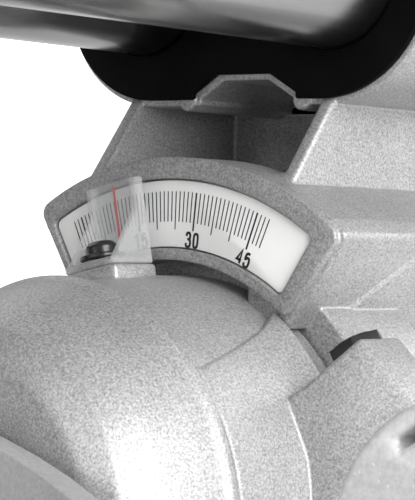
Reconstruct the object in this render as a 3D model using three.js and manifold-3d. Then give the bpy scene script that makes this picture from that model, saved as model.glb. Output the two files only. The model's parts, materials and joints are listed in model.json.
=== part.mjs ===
// Cordless sliding mitre saw, in millimetres, +Z up.
// The origin is the mitre axis on the bench plane, +X is the operator's right and +Y points away from them.
// The fence face stands on the plane y = 0, and the bevel axis lies in the table's top face.
import * as THREE from 'three';
import { mergeVertices } from 'three/addons/utils/BufferGeometryUtils.js';
import Module from 'manifold-3d';

const wasm = await Module();
wasm.setup();

// How the saw stands: tilted left, raised, and drawn forward on its rails
const BEVEL_SHOWN_ANGLE = 12;
const HEAD_RAISED_ANGLE = 42;
const SLIDE_SHOWN = 135;

// Clearances and cuts
const GAP = 0.3;
const SLIDING_GAP = 0.35;
const OVERRUN = 5;
const WELD = 0.0001;

// Facets round a full circle
const FINE_FACETS = 64;
const FACETS = 32;
const SMALL_FACETS = 16;
const CORNER_STEPS = 4;

// Table, base and feet
const TABLE = { top: 62, radius: 118, skin: 8, wall: 7, sideGap: 1.5 };
const BASE = {
  halfLength: 232, front: -44, back: 32, cornerRadius: 14, skin: 7, wall: 6,
  floorBottom: 8, floorTop: 14.5, floorMargin: 8,
  apronTop: 21, apronOverlap: 6, apronMargin: 30, apronAngle: 62,
  centreFootRadius: 15, boltFloor: 3.5, footInset: 22, footSetback: 14.5,
  padRadius: 10, padShares: [[-0.746, -0.89], [0.746, -0.89], [-0.661, 0.661], [0.661, 0.661]],
};
const FOOT = { radius: 13, lipRadius: 15, lipHeight: 3 };
const MITRE_SCALE = { innerGap: 6, width: 20, thickness: 1.5, angle: 58 };
const MITRE_BOLT = { radius: 8, headRadius: 13, headHeight: 6, length: 44 };

// Front arm of the turntable with its kerf plate, lock and detent lever
const ARM_FRONT = {
  halfWidth: 33, noseHalfWidth: 25, rootDepth: 14, end: -322, nose: -296, bottom: 26, wall: 5, skin: 7,
};
const KERF = {
  front: -294, backInset: 26, halfWidth: 14, depth: 3.6,
  slotHalfWidth: 6, slotFront: -284, slotBackInset: 38,
  throatHalfWidth: 9, throatFront: -288, throatBackInset: 34, corner: 2,
};
const LOCK_ROD = { radius: 4, height: 43, innerGap: 6 };
const LOCK_HANDLE = {
  radius: 17, neckRadius: 11, length: 42, gap: 1, lobes: 6, lobeShare: 0.12, collarShare: 0.25, bore: 30,
};
const DETENT = {
  halfWidth: 5, tipGap: 1.8, tipDepth: 3.6, tipLow: 12.5, rail: 27, railTop: 33, pivot: -250, pinRadius: 3,
  bendBack: -262, bendFront: -284, padFront: -358, padRise: 4, padThickness: 5, pinHalfLength: 30,
  notchRadius: 4.5,
};
const NOTCH_ANGLES = [-45, -30, -22.5, -15, 0, 15, 22.5, 30, 45];
const MITRE_POINTER = { reach: 14, halfWidth: 6, thickness: 1.5, setback: 19, tipHalfWidth: 1 };

// Bevel hub behind the fence, its stops, its pointer and its bolt
const HUB_SETBACK = 46;
const SCALE_PLANE = TABLE.radius + HUB_SETBACK;
const HUB = {
  noseRadius: 28, noseFront: -52, rimRadius: 44.2, rim: -30, bodyRadius: 44.8, body: -27.5,
  seatRadius: 44.4, seat: -5, back: 6, domeSteps: 6,
  boreRadius: 10.4, boreFront: -34, neckHalfWidth: 38, neckTop: -3, neckBottom: -42, neckFront: -46,
  padHalfWidth: 8.6, padFront: -14.6, padBack: -3, padTop: 45.4, padRoot: 38, overTable: 1.1,
};
const STOP_BLOCK = {
  rootRadius: 42, topRadius: 61.6, topAngle: 45, shoulderRadius: 66, shoulderAngle: 57.8, footRadius: 47,
  footAngle: 70.4, front: -10, back: 3.5,
};
const BEVEL_LIMIT = { right: 2, left: 48 };
const STOP_BOLT = {
  acrossFlats: 10, headHeight: 4, radius: 3, holeRadius: 3.3, length: 22, standOff: 1.4, at: 55, y: -3.2,
};
const PIVOT_BOLT = { radius: 10, front: -30, back: 58 };
const POINTER = {
  angle: -25, halfWidth: 7.7, footFront: -14, footThickness: 1.3,
  windowThickness: 1.7, windowBack: -2.9, top: 62.6, ribThickness: 1.3, ribTop: 56.5, screwAt: -9,
};
const POINTER_SCREW = {
  headRadius: 3.1, headHeight: 2.6, flangeRadius: 4.4, flangeHeight: 0.9, radius: 1.6, length: 9,
  crownShare: 0.7, rimShare: 0.67, slotShare: 0.62, slotWidthShare: 0.25,
};

// Tilting arm: scale frame, column and rail carrier
const FRAME = {
  inner: 46.9, outer: 66.5, halfAngle: 36, front: -1.5, back: 11, corner: 2.4, lugAngle: 30,
  plateInner: 49.3, plateOuter: 62.2, plateHalfAngle: 32, plateThickness: 1, plateCorner: 1.6,
  bedCorner: 1.7, bedHalfAngle: 32.3,
};
const FLANGE = { radius: 50, front: 6.6, back: 30, boreRadius: 10.4 };
const COLUMN = {
  left: -28.2, right: 25, wall: 3.2, frontBottom: 4, frontTop: 17.8, bottomHeight: 62, topDrop: 24.6,
  recessBack: 45, recessFloor: 64, recessTopDrop: 21.8, back: 112, bandHeight: 55.5, bandOut: 2,
  shelfHeight: 52.5, shelfOut: 6, flankReach: 44, flankHeight: 41, shoulderFront: 8, shoulderBack: 62,
  shoulderBottom: 24,
};
const CARRIER = {
  front: 21.4, back: 118, halfWidth: 46.5, radius: 24.3, height: 102.8, rim: 1.7, notchLeft: -10.5,
  notchRight: 16, notchTopLeft: -4.5, notchTopRight: 9.3, notchDrop: 19.4, sealFront: 15, earRadius: 3.4,
  earPlaces: [-16.5, 22], earDrop: 22.4,
};
const RAIL = { radius: 15, wall: 2.5, halfSpacing: 24, behind: 88 };
const BUSHING = { wall: 2.6 };
const BEVEL_LEVER = {
  hubRadius: 16, front: 31, back: 50, reach: 84, halfWidth: 6, tipHalfWidth: 9, tipAngle: 60, thickness: 10,
  angle: 114,
};
const RAIL_KNOB = {
  radius: 14, length: 20, stemRadius: 4, stemLength: 10, at: 70, lobes: 5, lobeShare: 0.16,
};

// Rear bridge and yoke on the rails
const BRIDGE = { length: 20, socket: 12 };
const YOKE = {
  length: 52, socket: 34, earInner: 34, earOuter: 45, earRadius: 19, pivotRise: 49.2, pivotAhead: 26,
  behind: 10,
};
const CHOP_PIN = { radius: 7, headRadius: 11, headHeight: 5 };
const SPRING = { wire: 2.2, radius: 12, curls: 5, pitch: 3.1, left: 16.6, steps: 8, sides: 5 };

// Head, measured from the chop pin with the blade level at the bottom of its stroke
const ARBOR = { ahead: 180, drop: 54 };
const BLADE = {
  radius: 108, halfThickness: 0.9, teeth: 40, gullet: 7, boreRadius: 8.4,
  toothShares: [[0, 0], [0.13, 0.04], [0.55, 0.45], [0.86, 1]],
};
const CASTING = {
  halfWidth: 14, cavityHalfWidth: 10.4, bladeGap: 5.2, wall: 5.8, edgeAngle: 4, lobeRadius: 23,
  lobeTopAngle: 75, neckTop: 34, neckTopReach: 96, neckBack: 5.5, lowerEdge: 8, jawReach: 120,
  jawBack: 61, neckReach: 31, neckDrop: 24, accessRadius: 24,
};
const LOWER_GUARD = {
  bladeGap: 3.6, rim: 1.8, innerHalfWidth: 7.6, sheet: 1.8, hubRadius: 34, boreRadius: 26.5,
  firstAngle: 188, spanAngle: 150,
};
const FLANGES = { radius: 21, thickness: 3.2 };
const ARBOR_BOLT = { acrossFlats: 17, height: 6, washerRadius: 12, washerHeight: 1.6 };
const SPINDLE = {
  radius: 8, bossRadius: 26, end: 62, gearLeft: 36, gearRight: 47, threadRadius: 5, threadLength: 12,
};
const GEARS = {
  wheelRadius: 44, wheelTeeth: 44, pinionTeeth: 14, addendumShare: 0.8, rootShare: 1.35,
  pressureAngle: 20, backlash: 0.55, flankSteps: 1, motorAngle: 62,
};
const GEAR_CASE = {
  left: 14.4, right: 61, wall: 3, radius: 50, motorRadius: 38, bossLeft: 7, coverThickness: 4,
};
const MOTOR = {
  left: 65.6, right: 170, radius: 38, wall: 2.6, endRadius: 30, endTaper: 8, ventRadius: 11,
  statorOuter: 35, statorInner: 22, statorLeft: 76, statorRight: 140, rotorRadius: 21,
  spigotRadius: 26, shaftRadius: 5, shaftEnd: 154, pinionLeft: 35, pinionRight: 48,
};
const HANDLE = {
  halfWidth: 16, length: 128, height: 98, corner: 24, ahead: 182, casingOverlap: 22, split: 0.15,
  openingHalfLength: 44, openingLow: -12, openingHigh: 24, openingCorner: 13,
};
const TRIGGER = { halfWidth: 7, length: 32, ahead: 22, travel: 5, proud: 8, wellDepth: 12, corner: 3 };
const LOCK_OFF = { radius: 4.5, proud: 4, behind: 10, rise: 36 };
const BATTERY = { halfWidth: 38, depth: 62, height: 112, corner: 9, centre: 118, bottom: -36 };
const BATTERY_FOOT = { halfWidth: 33, depth: 14, bottom: -26, top: 62, seat: 30 };
const LAMP = { radius: 7, length: 14, offset: 38, lensRadius: 5, ahead: 56, holderWall: 2.8, proud: 3 };
const SPOUT = { radius: 14, wall: 2.2, length: 56, angle: 55, holeRadius: 10 };
const LATCH_PIN = {
  radius: 3.5, knobRadius: 8, knobLength: 10, travel: 12, ahead: 14, drop: 10, inner: 16,
};

// Fence, with the low bow that joins its halves behind the blade
const FENCE = {
  thickness: 9, height: 34, inner: 42, outer: 226, leftInner: 56, leftTop: 126, lift: 0.8,
  footDepth: 30, footHeight: 8, ribThickness: 6, rightRibs: [60, 88], leftRibs: [80, 98],
  bowInset: 10, bowWidth: 5, bowHeight: 20, bossHalfWidth: 11, bossHeight: 30, clampBack: 25,
};
const SLIDER = {
  thickness: 8, top: 79.5, inner: 158.5, length: 96, corner: 13.6, shelf: 10,
  tongueInner: 128, tongueThickness: 5, tongueBottom: 14,
  slotRadius: 11.4, slotWidth: 1.1, slotFirstAngle: 92, slotLastAngle: 141,
};
const FENCE_KNOB = {
  radius: 11, length: 16, stemRadius: 3.5, height: 20, at: 196, lobes: 3, lobeShare: 0.2,
};

const radians = (degrees) => THREE.MathUtils.degToRad(degrees);
const half = (length) => length / 2;
const apronRadius = TABLE.radius + BASE.apronMargin;
const casingCavity = BLADE.radius + CASTING.bladeGap;
const casingOuter = casingCavity + CASTING.wall;
const toothModule = (2 * GEARS.wheelRadius) / GEARS.wheelTeeth;

// Outlines are lists of [across, up] points

const arc = (x, y, radius, from, to, steps) => Array.from({ length: steps + 1 }, (_, i) => {
  const angle = radians(from + ((to - from) * i) / steps);
  return [x + radius * Math.cos(angle), y + radius * Math.sin(angle)];
});

const circle = (x, y, radius, facets) => arc(x, y, radius, 0, 360 - 360 / facets, facets - 1);

const roundedBox = (left, right, low, high, corner) => [
  ...arc(right - corner, high - corner, corner, 0, 90, CORNER_STEPS),
  ...arc(left + corner, high - corner, corner, 90, 180, CORNER_STEPS),
  ...arc(left + corner, low + corner, corner, 180, 270, CORNER_STEPS),
  ...arc(right - corner, low + corner, corner, 270, 360, CORNER_STEPS),
];

const stadium = (x, y, halfWidth, radius, facets) => [
  ...arc(x + halfWidth - radius, y, radius, -90, 90, facets / 2),
  ...arc(x - halfWidth + radius, y, radius, 90, 270, facets / 2),
];

// Angles of a sector are measured clockwise from straight up, as the bevel scale is
const sector = (inner, outer, from, to, steps) => [
  ...arc(0, 0, outer, 90 - from, 90 - to, steps),
  ...arc(0, 0, inner, 90 - to, 90 - from, steps),
];

const polar = (radius, angle) => [radius * Math.sin(radians(angle)), radius * Math.cos(radians(angle))];

// A rounded box bent round the bevel axis, with its sides on radial lines
function bentBox(inner, outer, halfAngle, corner) {
  const middle = half(inner + outer);
  const halfLength = middle * radians(halfAngle);
  const box = roundedBox(-halfLength, halfLength, inner, outer, corner);
  return box.flatMap(([along, radius], i) => {
    const [nextAlong, nextRadius] = box[(i + 1) % box.length];
    const steps = Math.max(1, Math.round((Math.abs(nextAlong - along) / middle) * FACETS / 2));
    return Array.from({ length: steps }, (_, step) => polar(
      radius + ((nextRadius - radius) * step) / steps,
      THREE.MathUtils.radToDeg((along + ((nextAlong - along) * step) / steps) / middle),
    ));
  });
}

const hexagon = (acrossFlats) => circle(0, 0, half(acrossFlats) / Math.cos(radians(30)), 6);

const lobed = (radius, lobes, share, facets) => Array.from({ length: facets }, (_, i) => {
  const angle = (i / facets) * 2 * Math.PI;
  const reach = radius * (1 - share / 2 + (share / 2) * Math.cos(lobes * angle));
  return [reach * Math.cos(angle), reach * Math.sin(angle)];
});

// Solids: every geometry is welded and handed over as a closed body

function solid(geometry) {
  const plain = geometry.index ? geometry.toNonIndexed() : geometry;
  plain.deleteAttribute('normal');
  plain.deleteAttribute('uv');
  const welded = mergeVertices(plain, WELD);
  const spots = welded.attributes.position.array;
  const corners = welded.index.array;
  const kept = [];
  let volume = 0;
  for (let i = 0; i < corners.length; i += 3) {
    const [a, b, c] = [corners[i], corners[i + 1], corners[i + 2]];
    if (a === b || b === c || c === a) continue;
    kept.push(a, b, c);
    const [p, q, r] = [a, b, c].map((at) => new THREE.Vector3().fromArray(spots, at * 3));
    volume += p.dot(q.cross(r));
  }
  if (volume < 0) {
    for (let i = 0; i < kept.length; i += 3) [kept[i], kept[i + 1]] = [kept[i + 1], kept[i]];
  }
  const mesh = new wasm.Mesh({ numProp: 3, vertProperties: new Float32Array(spots),
    triVerts: new Uint32Array(kept) });
  return new wasm.Manifold(mesh);
}

function extruded(outline, length, holes = []) {
  const shape = new THREE.Shape(outline.map(([u, v]) => new THREE.Vector2(u, v)));
  holes.forEach((hole) => shape.holes.push(new THREE.Path(hole.map(([u, v]) => new THREE.Vector2(u, v)))));
  return new THREE.ExtrudeGeometry(shape, { depth: length, bevelEnabled: false, curveSegments: 1 });
}

const X = new THREE.Vector3(1, 0, 0);
const Y = new THREE.Vector3(0, 1, 0);
const Z = new THREE.Vector3(0, 0, 1);

// Plates with their outline in (x, y), (y, z) or (x, z), from one height or side to another
function plateZ(outline, low, high, holes) {
  return solid(extruded(outline, high - low, holes).translate(0, 0, low));
}

function plateX(outline, left, right, holes) {
  const turn = new THREE.Matrix4().makeBasis(Y, Z, X);
  return solid(extruded(outline, right - left, holes).applyMatrix4(turn).translate(left, 0, 0));
}

function plateY(outline, front, back, holes) {
  const turn = new THREE.Matrix4().makeBasis(X, Z, Y.clone().negate());
  return solid(extruded(outline, back - front, holes).applyMatrix4(turn).translate(0, back, 0));
}

const block = (left, right, front, back, low, high) => plateZ(
  [[left, front], [right, front], [right, back], [left, back]], low, high);

// A lathe profile is a list of [radius, place along the axis]
function turned(profile, axis, at, facets) {
  const points = profile.map(([radius, along]) => new THREE.Vector2(radius, along));
  const geometry = new THREE.LatheGeometry(points, facets);
  if (axis === X) geometry.rotateZ(-Math.PI / 2);
  if (axis === Z) geometry.rotateX(Math.PI / 2);
  return solid(geometry.translate(...at));
}

const rod = (axis, radius, from, to, at, facets = FACETS) => turned(
  [[0, from], [radius, from], [radius, to], [0, to]], axis, at, facets);

const tube = (axis, inner, outer, from, to, at, facets = FACETS) => turned(
  [[inner, from], [outer, from], [outer, to], [inner, to], [inner, from]], axis, at, facets);

const join = (...parts) => parts.reduce((a, b) => a.add(b));
const cut = (part, ...tools) => tools.reduce((a, b) => a.subtract(b), part);

function moved(part, matrix) {
  return solid(geometryOf(part).applyMatrix4(matrix));
}

function geometryOf(part) {
  const { vertProperties, triVerts } = part.getMesh();
  const geometry = new THREE.BufferGeometry();
  geometry.setAttribute('position', new THREE.BufferAttribute(new Float32Array(vertProperties), 3));
  geometry.setIndex(new THREE.BufferAttribute(new Uint32Array(triVerts), 1));
  return geometry;
}

const turnedAbout = (part, axis, degrees) => moved(part, new THREE.Matrix4().makeRotationAxis(axis,
  radians(degrees)));
const shifted = (part, x, y, z) => moved(part, new THREE.Matrix4().makeTranslation(x, y, z));
const mirrored = (part) => moved(part, new THREE.Matrix4().makeScale(-1, 1, 1));
const onSide = (part, side) => (side > 0 ? part : mirrored(part));

// Finishes
const finish = (color, roughness, metalness, opacity = 1) => new THREE.MeshStandardMaterial({
  color, roughness, metalness, opacity, transparent: opacity < 1 });
const FINISH = {
  casting: finish(0xc9c9c9, 0.42, 0.35),
  smoothCasting: finish(0xbdbdbd, 0.45, 0.2),
  machined: finish(0xd4d4d4, 0.3, 0.8),
  chrome: finish(0xd0d0d0, 0.12, 1),
  steel: finish(0x9a9a9a, 0.35, 0.9),
  blackSteel: finish(0x161616, 0.35, 0.6),
  blackPlastic: finish(0x0c0c0d, 0.5, 0),
  darkPlastic: finish(0x1c1d1f, 0.55, 0),
  shell: finish(0x2b2d30, 0.5, 0),
  rubber: finish(0x131313, 0.85, 0),
  scale: finish(0xeeeeec, 0.4, 0),
  clear: finish(0xf2f4f5, 0.06, 0, 0.3),
  smoked: finish(0x8d9296, 0.15, 0, 0.45),
  copper: finish(0x8a4b2a, 0.4, 0.7),
  red: finish(0xb33a24, 0.45, 0),
};

function named(name, part, material) {
  const geometry = geometryOf(part).toNonIndexed();
  geometry.computeVertexNormals();
  const mesh = new THREE.Mesh(geometry, FINISH[material]);
  mesh.name = name;
  return mesh;
}

// Base and fence

function baseCasting() {
  const outline = roundedBox(-BASE.halfLength, BASE.halfLength, BASE.front, BASE.back, BASE.cornerRadius);
  const cavityRadius = TABLE.radius + TABLE.sideGap;
  const inner = cavityRadius + BASE.wall;
  const pocket = (from, to) => block(
    from, to, BASE.front + BASE.wall, BASE.back - BASE.wall, BASE.floorBottom - OVERRUN,
    TABLE.top - BASE.skin);
  const apron = solid(extruded(sector(
    TABLE.radius - BASE.apronOverlap, apronRadius, 180 - BASE.apronAngle, 180 + BASE.apronAngle, FACETS / 2,
  ), BASE.apronTop - BASE.floorBottom).translate(0, 0, BASE.floorBottom));
  let casting = join(
    plateZ(outline, BASE.floorBottom, TABLE.top),
    rod(Z, TABLE.radius + BASE.floorMargin, BASE.floorBottom, BASE.floorTop, [0, 0, 0], FINE_FACETS),
    apron,
    rod(Z, BASE.centreFootRadius, 0, BASE.floorTop, [0, 0, 0]),
    ...BASE.padShares.map(([across, along]) => rod(
      Z, BASE.padRadius, 0, half(BASE.floorBottom + BASE.floorTop),
      [across * TABLE.radius, along * TABLE.radius, 0], SMALL_FACETS)),
  );
  casting = cut(
    casting,
    rod(Z, cavityRadius, BASE.floorTop, TABLE.top + OVERRUN, [0, 0, 0], FINE_FACETS),
    pocket(inner, BASE.halfLength - BASE.wall),
    pocket(BASE.wall - BASE.halfLength, -inner),
    rod(Z, MITRE_BOLT.radius + GAP, BASE.boltFloor, BASE.floorTop + OVERRUN, [0, 0, 0]),
  );
  NOTCH_ANGLES.forEach((angle) => {
    const turn = radians(angle);
    const at = [apronRadius * Math.sin(turn), -apronRadius * Math.cos(turn), 0];
    casting = cut(casting, rod(
      Z, DETENT.notchRadius, BASE.floorBottom - OVERRUN, BASE.apronTop + OVERRUN, at, SMALL_FACETS));
  });
  return casting;
}

const footProfile = () => [
  [0, 0], [FOOT.lipRadius, 0], [FOOT.lipRadius, FOOT.lipHeight], [FOOT.radius, FOOT.lipHeight],
  [FOOT.radius, BASE.floorBottom - GAP], [0, BASE.floorBottom - GAP],
];

const foot = (x, y) => turned(footProfile(), Z, [x, y, 0], SMALL_FACETS);

function mitreScale() {
  const { innerGap, width, thickness, angle } = MITRE_SCALE;
  const inner = TABLE.radius + innerGap;
  const low = BASE.apronTop + GAP;
  return plateZ(sector(inner, inner + width, 180 - angle, 180 + angle, FACETS), low, low + thickness);
}

const fenceBottom = TABLE.top + FENCE.lift;
const tongueRoom = SLIDER.tongueThickness + 2 * SLIDING_GAP;
const fenceTop = TABLE.top + FENCE.height;

function fenceHalf(innerFoot, innerTop, ribPlaces) {
  const face = plateY([
    [innerFoot, fenceBottom], [FENCE.outer, fenceBottom], [FENCE.outer, fenceTop], [innerTop, fenceTop],
  ], 0, FENCE.thickness);
  const shelf = block(innerFoot, FENCE.outer, 0, FENCE.footDepth, fenceBottom,
    fenceBottom + FENCE.footHeight);
  const clampBoss = block(
    FENCE_KNOB.at - FENCE.bossHalfWidth, FENCE_KNOB.at + FENCE.bossHalfWidth,
    FENCE.thickness + tongueRoom, FENCE.clampBack, fenceBottom, TABLE.top + FENCE.bossHeight);
  let fence = join(face, shelf, clampBoss);
  ribPlaces.forEach((place) => {
    const rib = [
      [half(FENCE.thickness), fenceBottom], [FENCE.footDepth, fenceBottom],
      [FENCE.footDepth, fenceBottom + FENCE.footHeight],
      [FENCE.thickness, TABLE.top + FENCE.bowHeight], [half(FENCE.thickness), TABLE.top + FENCE.bowHeight],
    ];
    fence = fence.add(plateX(rib, place - half(FENCE.ribThickness), place + half(FENCE.ribThickness)));
  });
  const stemHole = rod(
    Y, FENCE_KNOB.stemRadius + GAP, FENCE.thickness + SLIDER.tongueThickness, FENCE.footDepth + OVERRUN,
    [FENCE_KNOB.at, 0, TABLE.top + FENCE_KNOB.height], SMALL_FACETS);
  return fence.subtract(stemHole);
}

function fenceCasting() {
  const bowTop = TABLE.top + FENCE.bowHeight;
  const bowOuter = TABLE.radius - FENCE.bowInset;
  const bow = plateZ([
    ...arc(0, 0, bowOuter, 0, 180, FINE_FACETS / 2),
    ...arc(0, 0, bowOuter - FENCE.bowWidth, 180, 0, FINE_FACETS / 2),
  ], fenceBottom, bowTop);
  return join(
    fenceHalf(FENCE.inner, FENCE.inner, FENCE.rightRibs),
    mirrored(fenceHalf(FENCE.leftInner, FENCE.leftTop, FENCE.leftRibs)),
    bow,
  );
}

function slidingFence() {
  const { inner, corner, thickness, tongueThickness, slotRadius, slotWidth, slotFirstAngle,
    slotLastAngle } = SLIDER;
  const outer = inner + SLIDER.length;
  const top = TABLE.top + SLIDER.top;
  const low = fenceTop + SLIDING_GAP;
  const tongueFront = FENCE.thickness + SLIDING_GAP;
  const tongueBack = tongueFront + tongueThickness;
  const centre = [inner + corner, top - corner];
  const face = plateY([
    [inner, low], [outer, low], ...arc(outer - corner, top - corner, corner, 0, 90, CORNER_STEPS),
    ...arc(...centre, corner, 90, 180, 2 * CORNER_STEPS),
  ], 0, thickness);
  const shelf = block(inner, outer, 0, tongueBack, low, low + SLIDER.shelf);
  const tongue = block(SLIDER.tongueInner, outer, tongueFront, tongueBack, TABLE.top + SLIDER.tongueBottom,
    low + SLIDER.shelf);
  const slot = plateY([
    ...arc(...centre, slotRadius + half(slotWidth), slotFirstAngle, slotLastAngle, CORNER_STEPS),
    ...arc(...centre, slotRadius - half(slotWidth), slotLastAngle, slotFirstAngle, CORNER_STEPS),
  ], -OVERRUN, thickness + OVERRUN);
  return join(face, shelf, tongue).subtract(slot);
}

function fenceKnob() {
  const { radius, length, stemRadius, lobes, lobeShare } = FENCE_KNOB;
  const stemFront = FENCE.thickness + tongueRoom;
  const knobFront = FENCE.clampBack + 2 * GAP;
  const grip = plateY(lobed(radius, lobes, lobeShare, SMALL_FACETS), knobFront, knobFront + length);
  return grip.add(rod(Y, stemRadius, stemFront, knobFront + half(length), [0, 0, 0], SMALL_FACETS));
}

// Turntable

const tableBottom = BASE.floorTop + GAP;

function turntableCasting() {
  const { halfWidth, noseHalfWidth, rootDepth, end, nose, bottom, wall, skin } = ARM_FRONT;
  const armOutline = (inset, from, to) => [
    [-halfWidth + inset, from], [-noseHalfWidth + inset, to], [noseHalfWidth - inset, to],
    [halfWidth - inset, from],
  ];
  const boltSeat = MITRE_BOLT.length;
  let casting = rod(Z, TABLE.radius, tableBottom, TABLE.top, [0, 0, 0], FINE_FACETS);
  casting = casting.subtract(rod(
    Z, TABLE.radius - TABLE.wall, tableBottom - OVERRUN, TABLE.top - TABLE.skin, [0, 0, 0], FINE_FACETS));
  casting = join(
    casting,
    rod(Z, MITRE_BOLT.headRadius + TABLE.wall, tableBottom, boltSeat, [0, 0, 0]),
    block(-halfWidth, halfWidth, -TABLE.radius + wall, TABLE.radius - wall, boltSeat - wall, boltSeat),
    plateZ(armOutline(0, rootDepth - TABLE.radius, end), bottom, TABLE.top),
    block(
      -HUB.neckHalfWidth, HUB.neckHalfWidth, TABLE.radius - 2 * TABLE.wall,
      SCALE_PLANE + HUB.neckFront - GAP, TABLE.top + HUB.neckBottom, TABLE.top + HUB.neckTop),
  );
  const kerfFloor = TABLE.top - KERF.depth - GAP;
  return cut(
    casting,
    plateZ(armOutline(wall, -TABLE.radius, nose), bottom - OVERRUN, TABLE.top - skin),
    block(
      -KERF.halfWidth - GAP, KERF.halfWidth + GAP, KERF.front - GAP, TABLE.radius - KERF.backInset + GAP,
      kerfFloor, TABLE.top + OVERRUN),
    block(
      -KERF.throatHalfWidth, KERF.throatHalfWidth, KERF.throatFront, TABLE.radius - KERF.throatBackInset,
      boltSeat + half(OVERRUN), TABLE.top + OVERRUN),
    rod(Z, MITRE_BOLT.radius + GAP, tableBottom - OVERRUN, boltSeat + OVERRUN, [0, 0, 0]),
    rod(Y, LOCK_ROD.radius + GAP, end - OVERRUN, nose + OVERRUN, [0, 0, LOCK_ROD.height], SMALL_FACETS),
    rod(
      X, DETENT.pinRadius + GAP, -halfWidth - OVERRUN, halfWidth + OVERRUN,
      [0, DETENT.pivot, half(DETENT.rail + DETENT.railTop)], SMALL_FACETS),
  );
}

function kerfInsert() {
  const top = TABLE.top - GAP;
  const back = TABLE.radius - KERF.backInset;
  const slotBack = TABLE.radius - KERF.slotBackInset;
  const outline = roundedBox(-KERF.halfWidth, KERF.halfWidth, KERF.front, back, KERF.corner);
  const slot = [
    [-KERF.slotHalfWidth, KERF.slotFront], [KERF.slotHalfWidth, KERF.slotFront],
    [KERF.slotHalfWidth, slotBack], [-KERF.slotHalfWidth, slotBack],
  ];
  return plateZ(outline, TABLE.top - KERF.depth, top, [slot]);
}

function mitreBolt() {
  const seat = MITRE_BOLT.length + GAP;
  return turned([
    [0, BASE.boltFloor + GAP], [MITRE_BOLT.radius, BASE.boltFloor + GAP], [MITRE_BOLT.radius, seat],
    [MITRE_BOLT.headRadius, seat], [MITRE_BOLT.headRadius, seat + MITRE_BOLT.headHeight],
    [0, seat + MITRE_BOLT.headHeight],
  ], Z, [0, 0, 0], FACETS);
}

const lockHandleBack = ARM_FRONT.end - LOCK_HANDLE.gap;

const lockRod = () => rod(
  Y, LOCK_ROD.radius, lockHandleBack - LOCK_HANDLE.bore + GAP, -TABLE.radius - LOCK_ROD.innerGap,
  [0, 0, LOCK_ROD.height], SMALL_FACETS);

function lockHandle() {
  const { radius, neckRadius, length, lobes, lobeShare, collarShare, bore } = LOCK_HANDLE;
  const front = lockHandleBack - length;
  const neckFront = lockHandleBack - length * collarShare;
  const grip = plateY(lobed(radius, lobes, lobeShare, FACETS), front, neckFront);
  const collar = rod(Y, neckRadius, neckFront - OVERRUN, lockHandleBack, [0, 0, 0], SMALL_FACETS);
  const hole = rod(Y, LOCK_ROD.radius + GAP, lockHandleBack - bore, lockHandleBack + OVERRUN, [0, 0, 0],
    SMALL_FACETS);
  return shifted(grip.add(collar).subtract(hole), 0, 0, LOCK_ROD.height);
}

function detentLever() {
  const d = DETENT;
  const depth = d.railTop - d.rail;
  const tipBack = -apronRadius - d.tipGap;
  const tipFront = tipBack - d.tipDepth;
  const low = d.rail - 2 * d.padRise - half(d.padThickness);
  const lever = plateX([
    [tipFront, d.tipLow], [tipBack, d.tipLow], [tipBack, d.rail - half(depth)],
    [tipFront - depth, d.railTop], [d.bendBack, d.railTop], [d.bendFront, low + depth],
    [d.padFront + depth, low + d.padThickness], [d.padFront, low + d.padThickness + d.padRise],
    [d.padFront - half(depth), low + d.padThickness + half(d.padRise)],
    [d.padFront, low], [d.bendFront, low], [d.bendBack, d.rail], [tipFront - 2 * depth, d.rail],
  ], -d.halfWidth, d.halfWidth);
  const pin = rod(X, d.pinRadius, -d.pinHalfLength, d.pinHalfLength, [0, d.pivot, half(d.rail + d.railTop)],
    SMALL_FACETS);
  return lever.add(pin);
}

function mitrePointer() {
  const { reach, halfWidth, thickness, setback, tipHalfWidth } = MITRE_POINTER;
  const at = -TABLE.radius - setback;
  const root = ARM_FRONT.halfWidth - ARM_FRONT.wall;
  const outer = ARM_FRONT.halfWidth + reach;
  const top = ARM_FRONT.bottom - GAP;
  return plateZ([
    [root, at - halfWidth], [outer, at - tipHalfWidth], [outer, at + tipHalfWidth], [root, at + halfWidth],
  ], top - thickness, top);
}

// Bevel hub, in a frame whose origin is on the bevel axis in the scale's plane

const stopOutline = () => [
  polar(STOP_BLOCK.rootRadius, STOP_BLOCK.topAngle), polar(STOP_BLOCK.topRadius, STOP_BLOCK.topAngle),
  polar(STOP_BLOCK.shoulderRadius, STOP_BLOCK.shoulderAngle),
  polar(STOP_BLOCK.footRadius, STOP_BLOCK.footAngle),
  polar(STOP_BLOCK.rootRadius, STOP_BLOCK.footAngle),
].reverse();

const leftStopTurn = BEVEL_LIMIT.left - BEVEL_LIMIT.right;
const mirroredAngle = (angle) => -angle - leftStopTurn;

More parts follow.
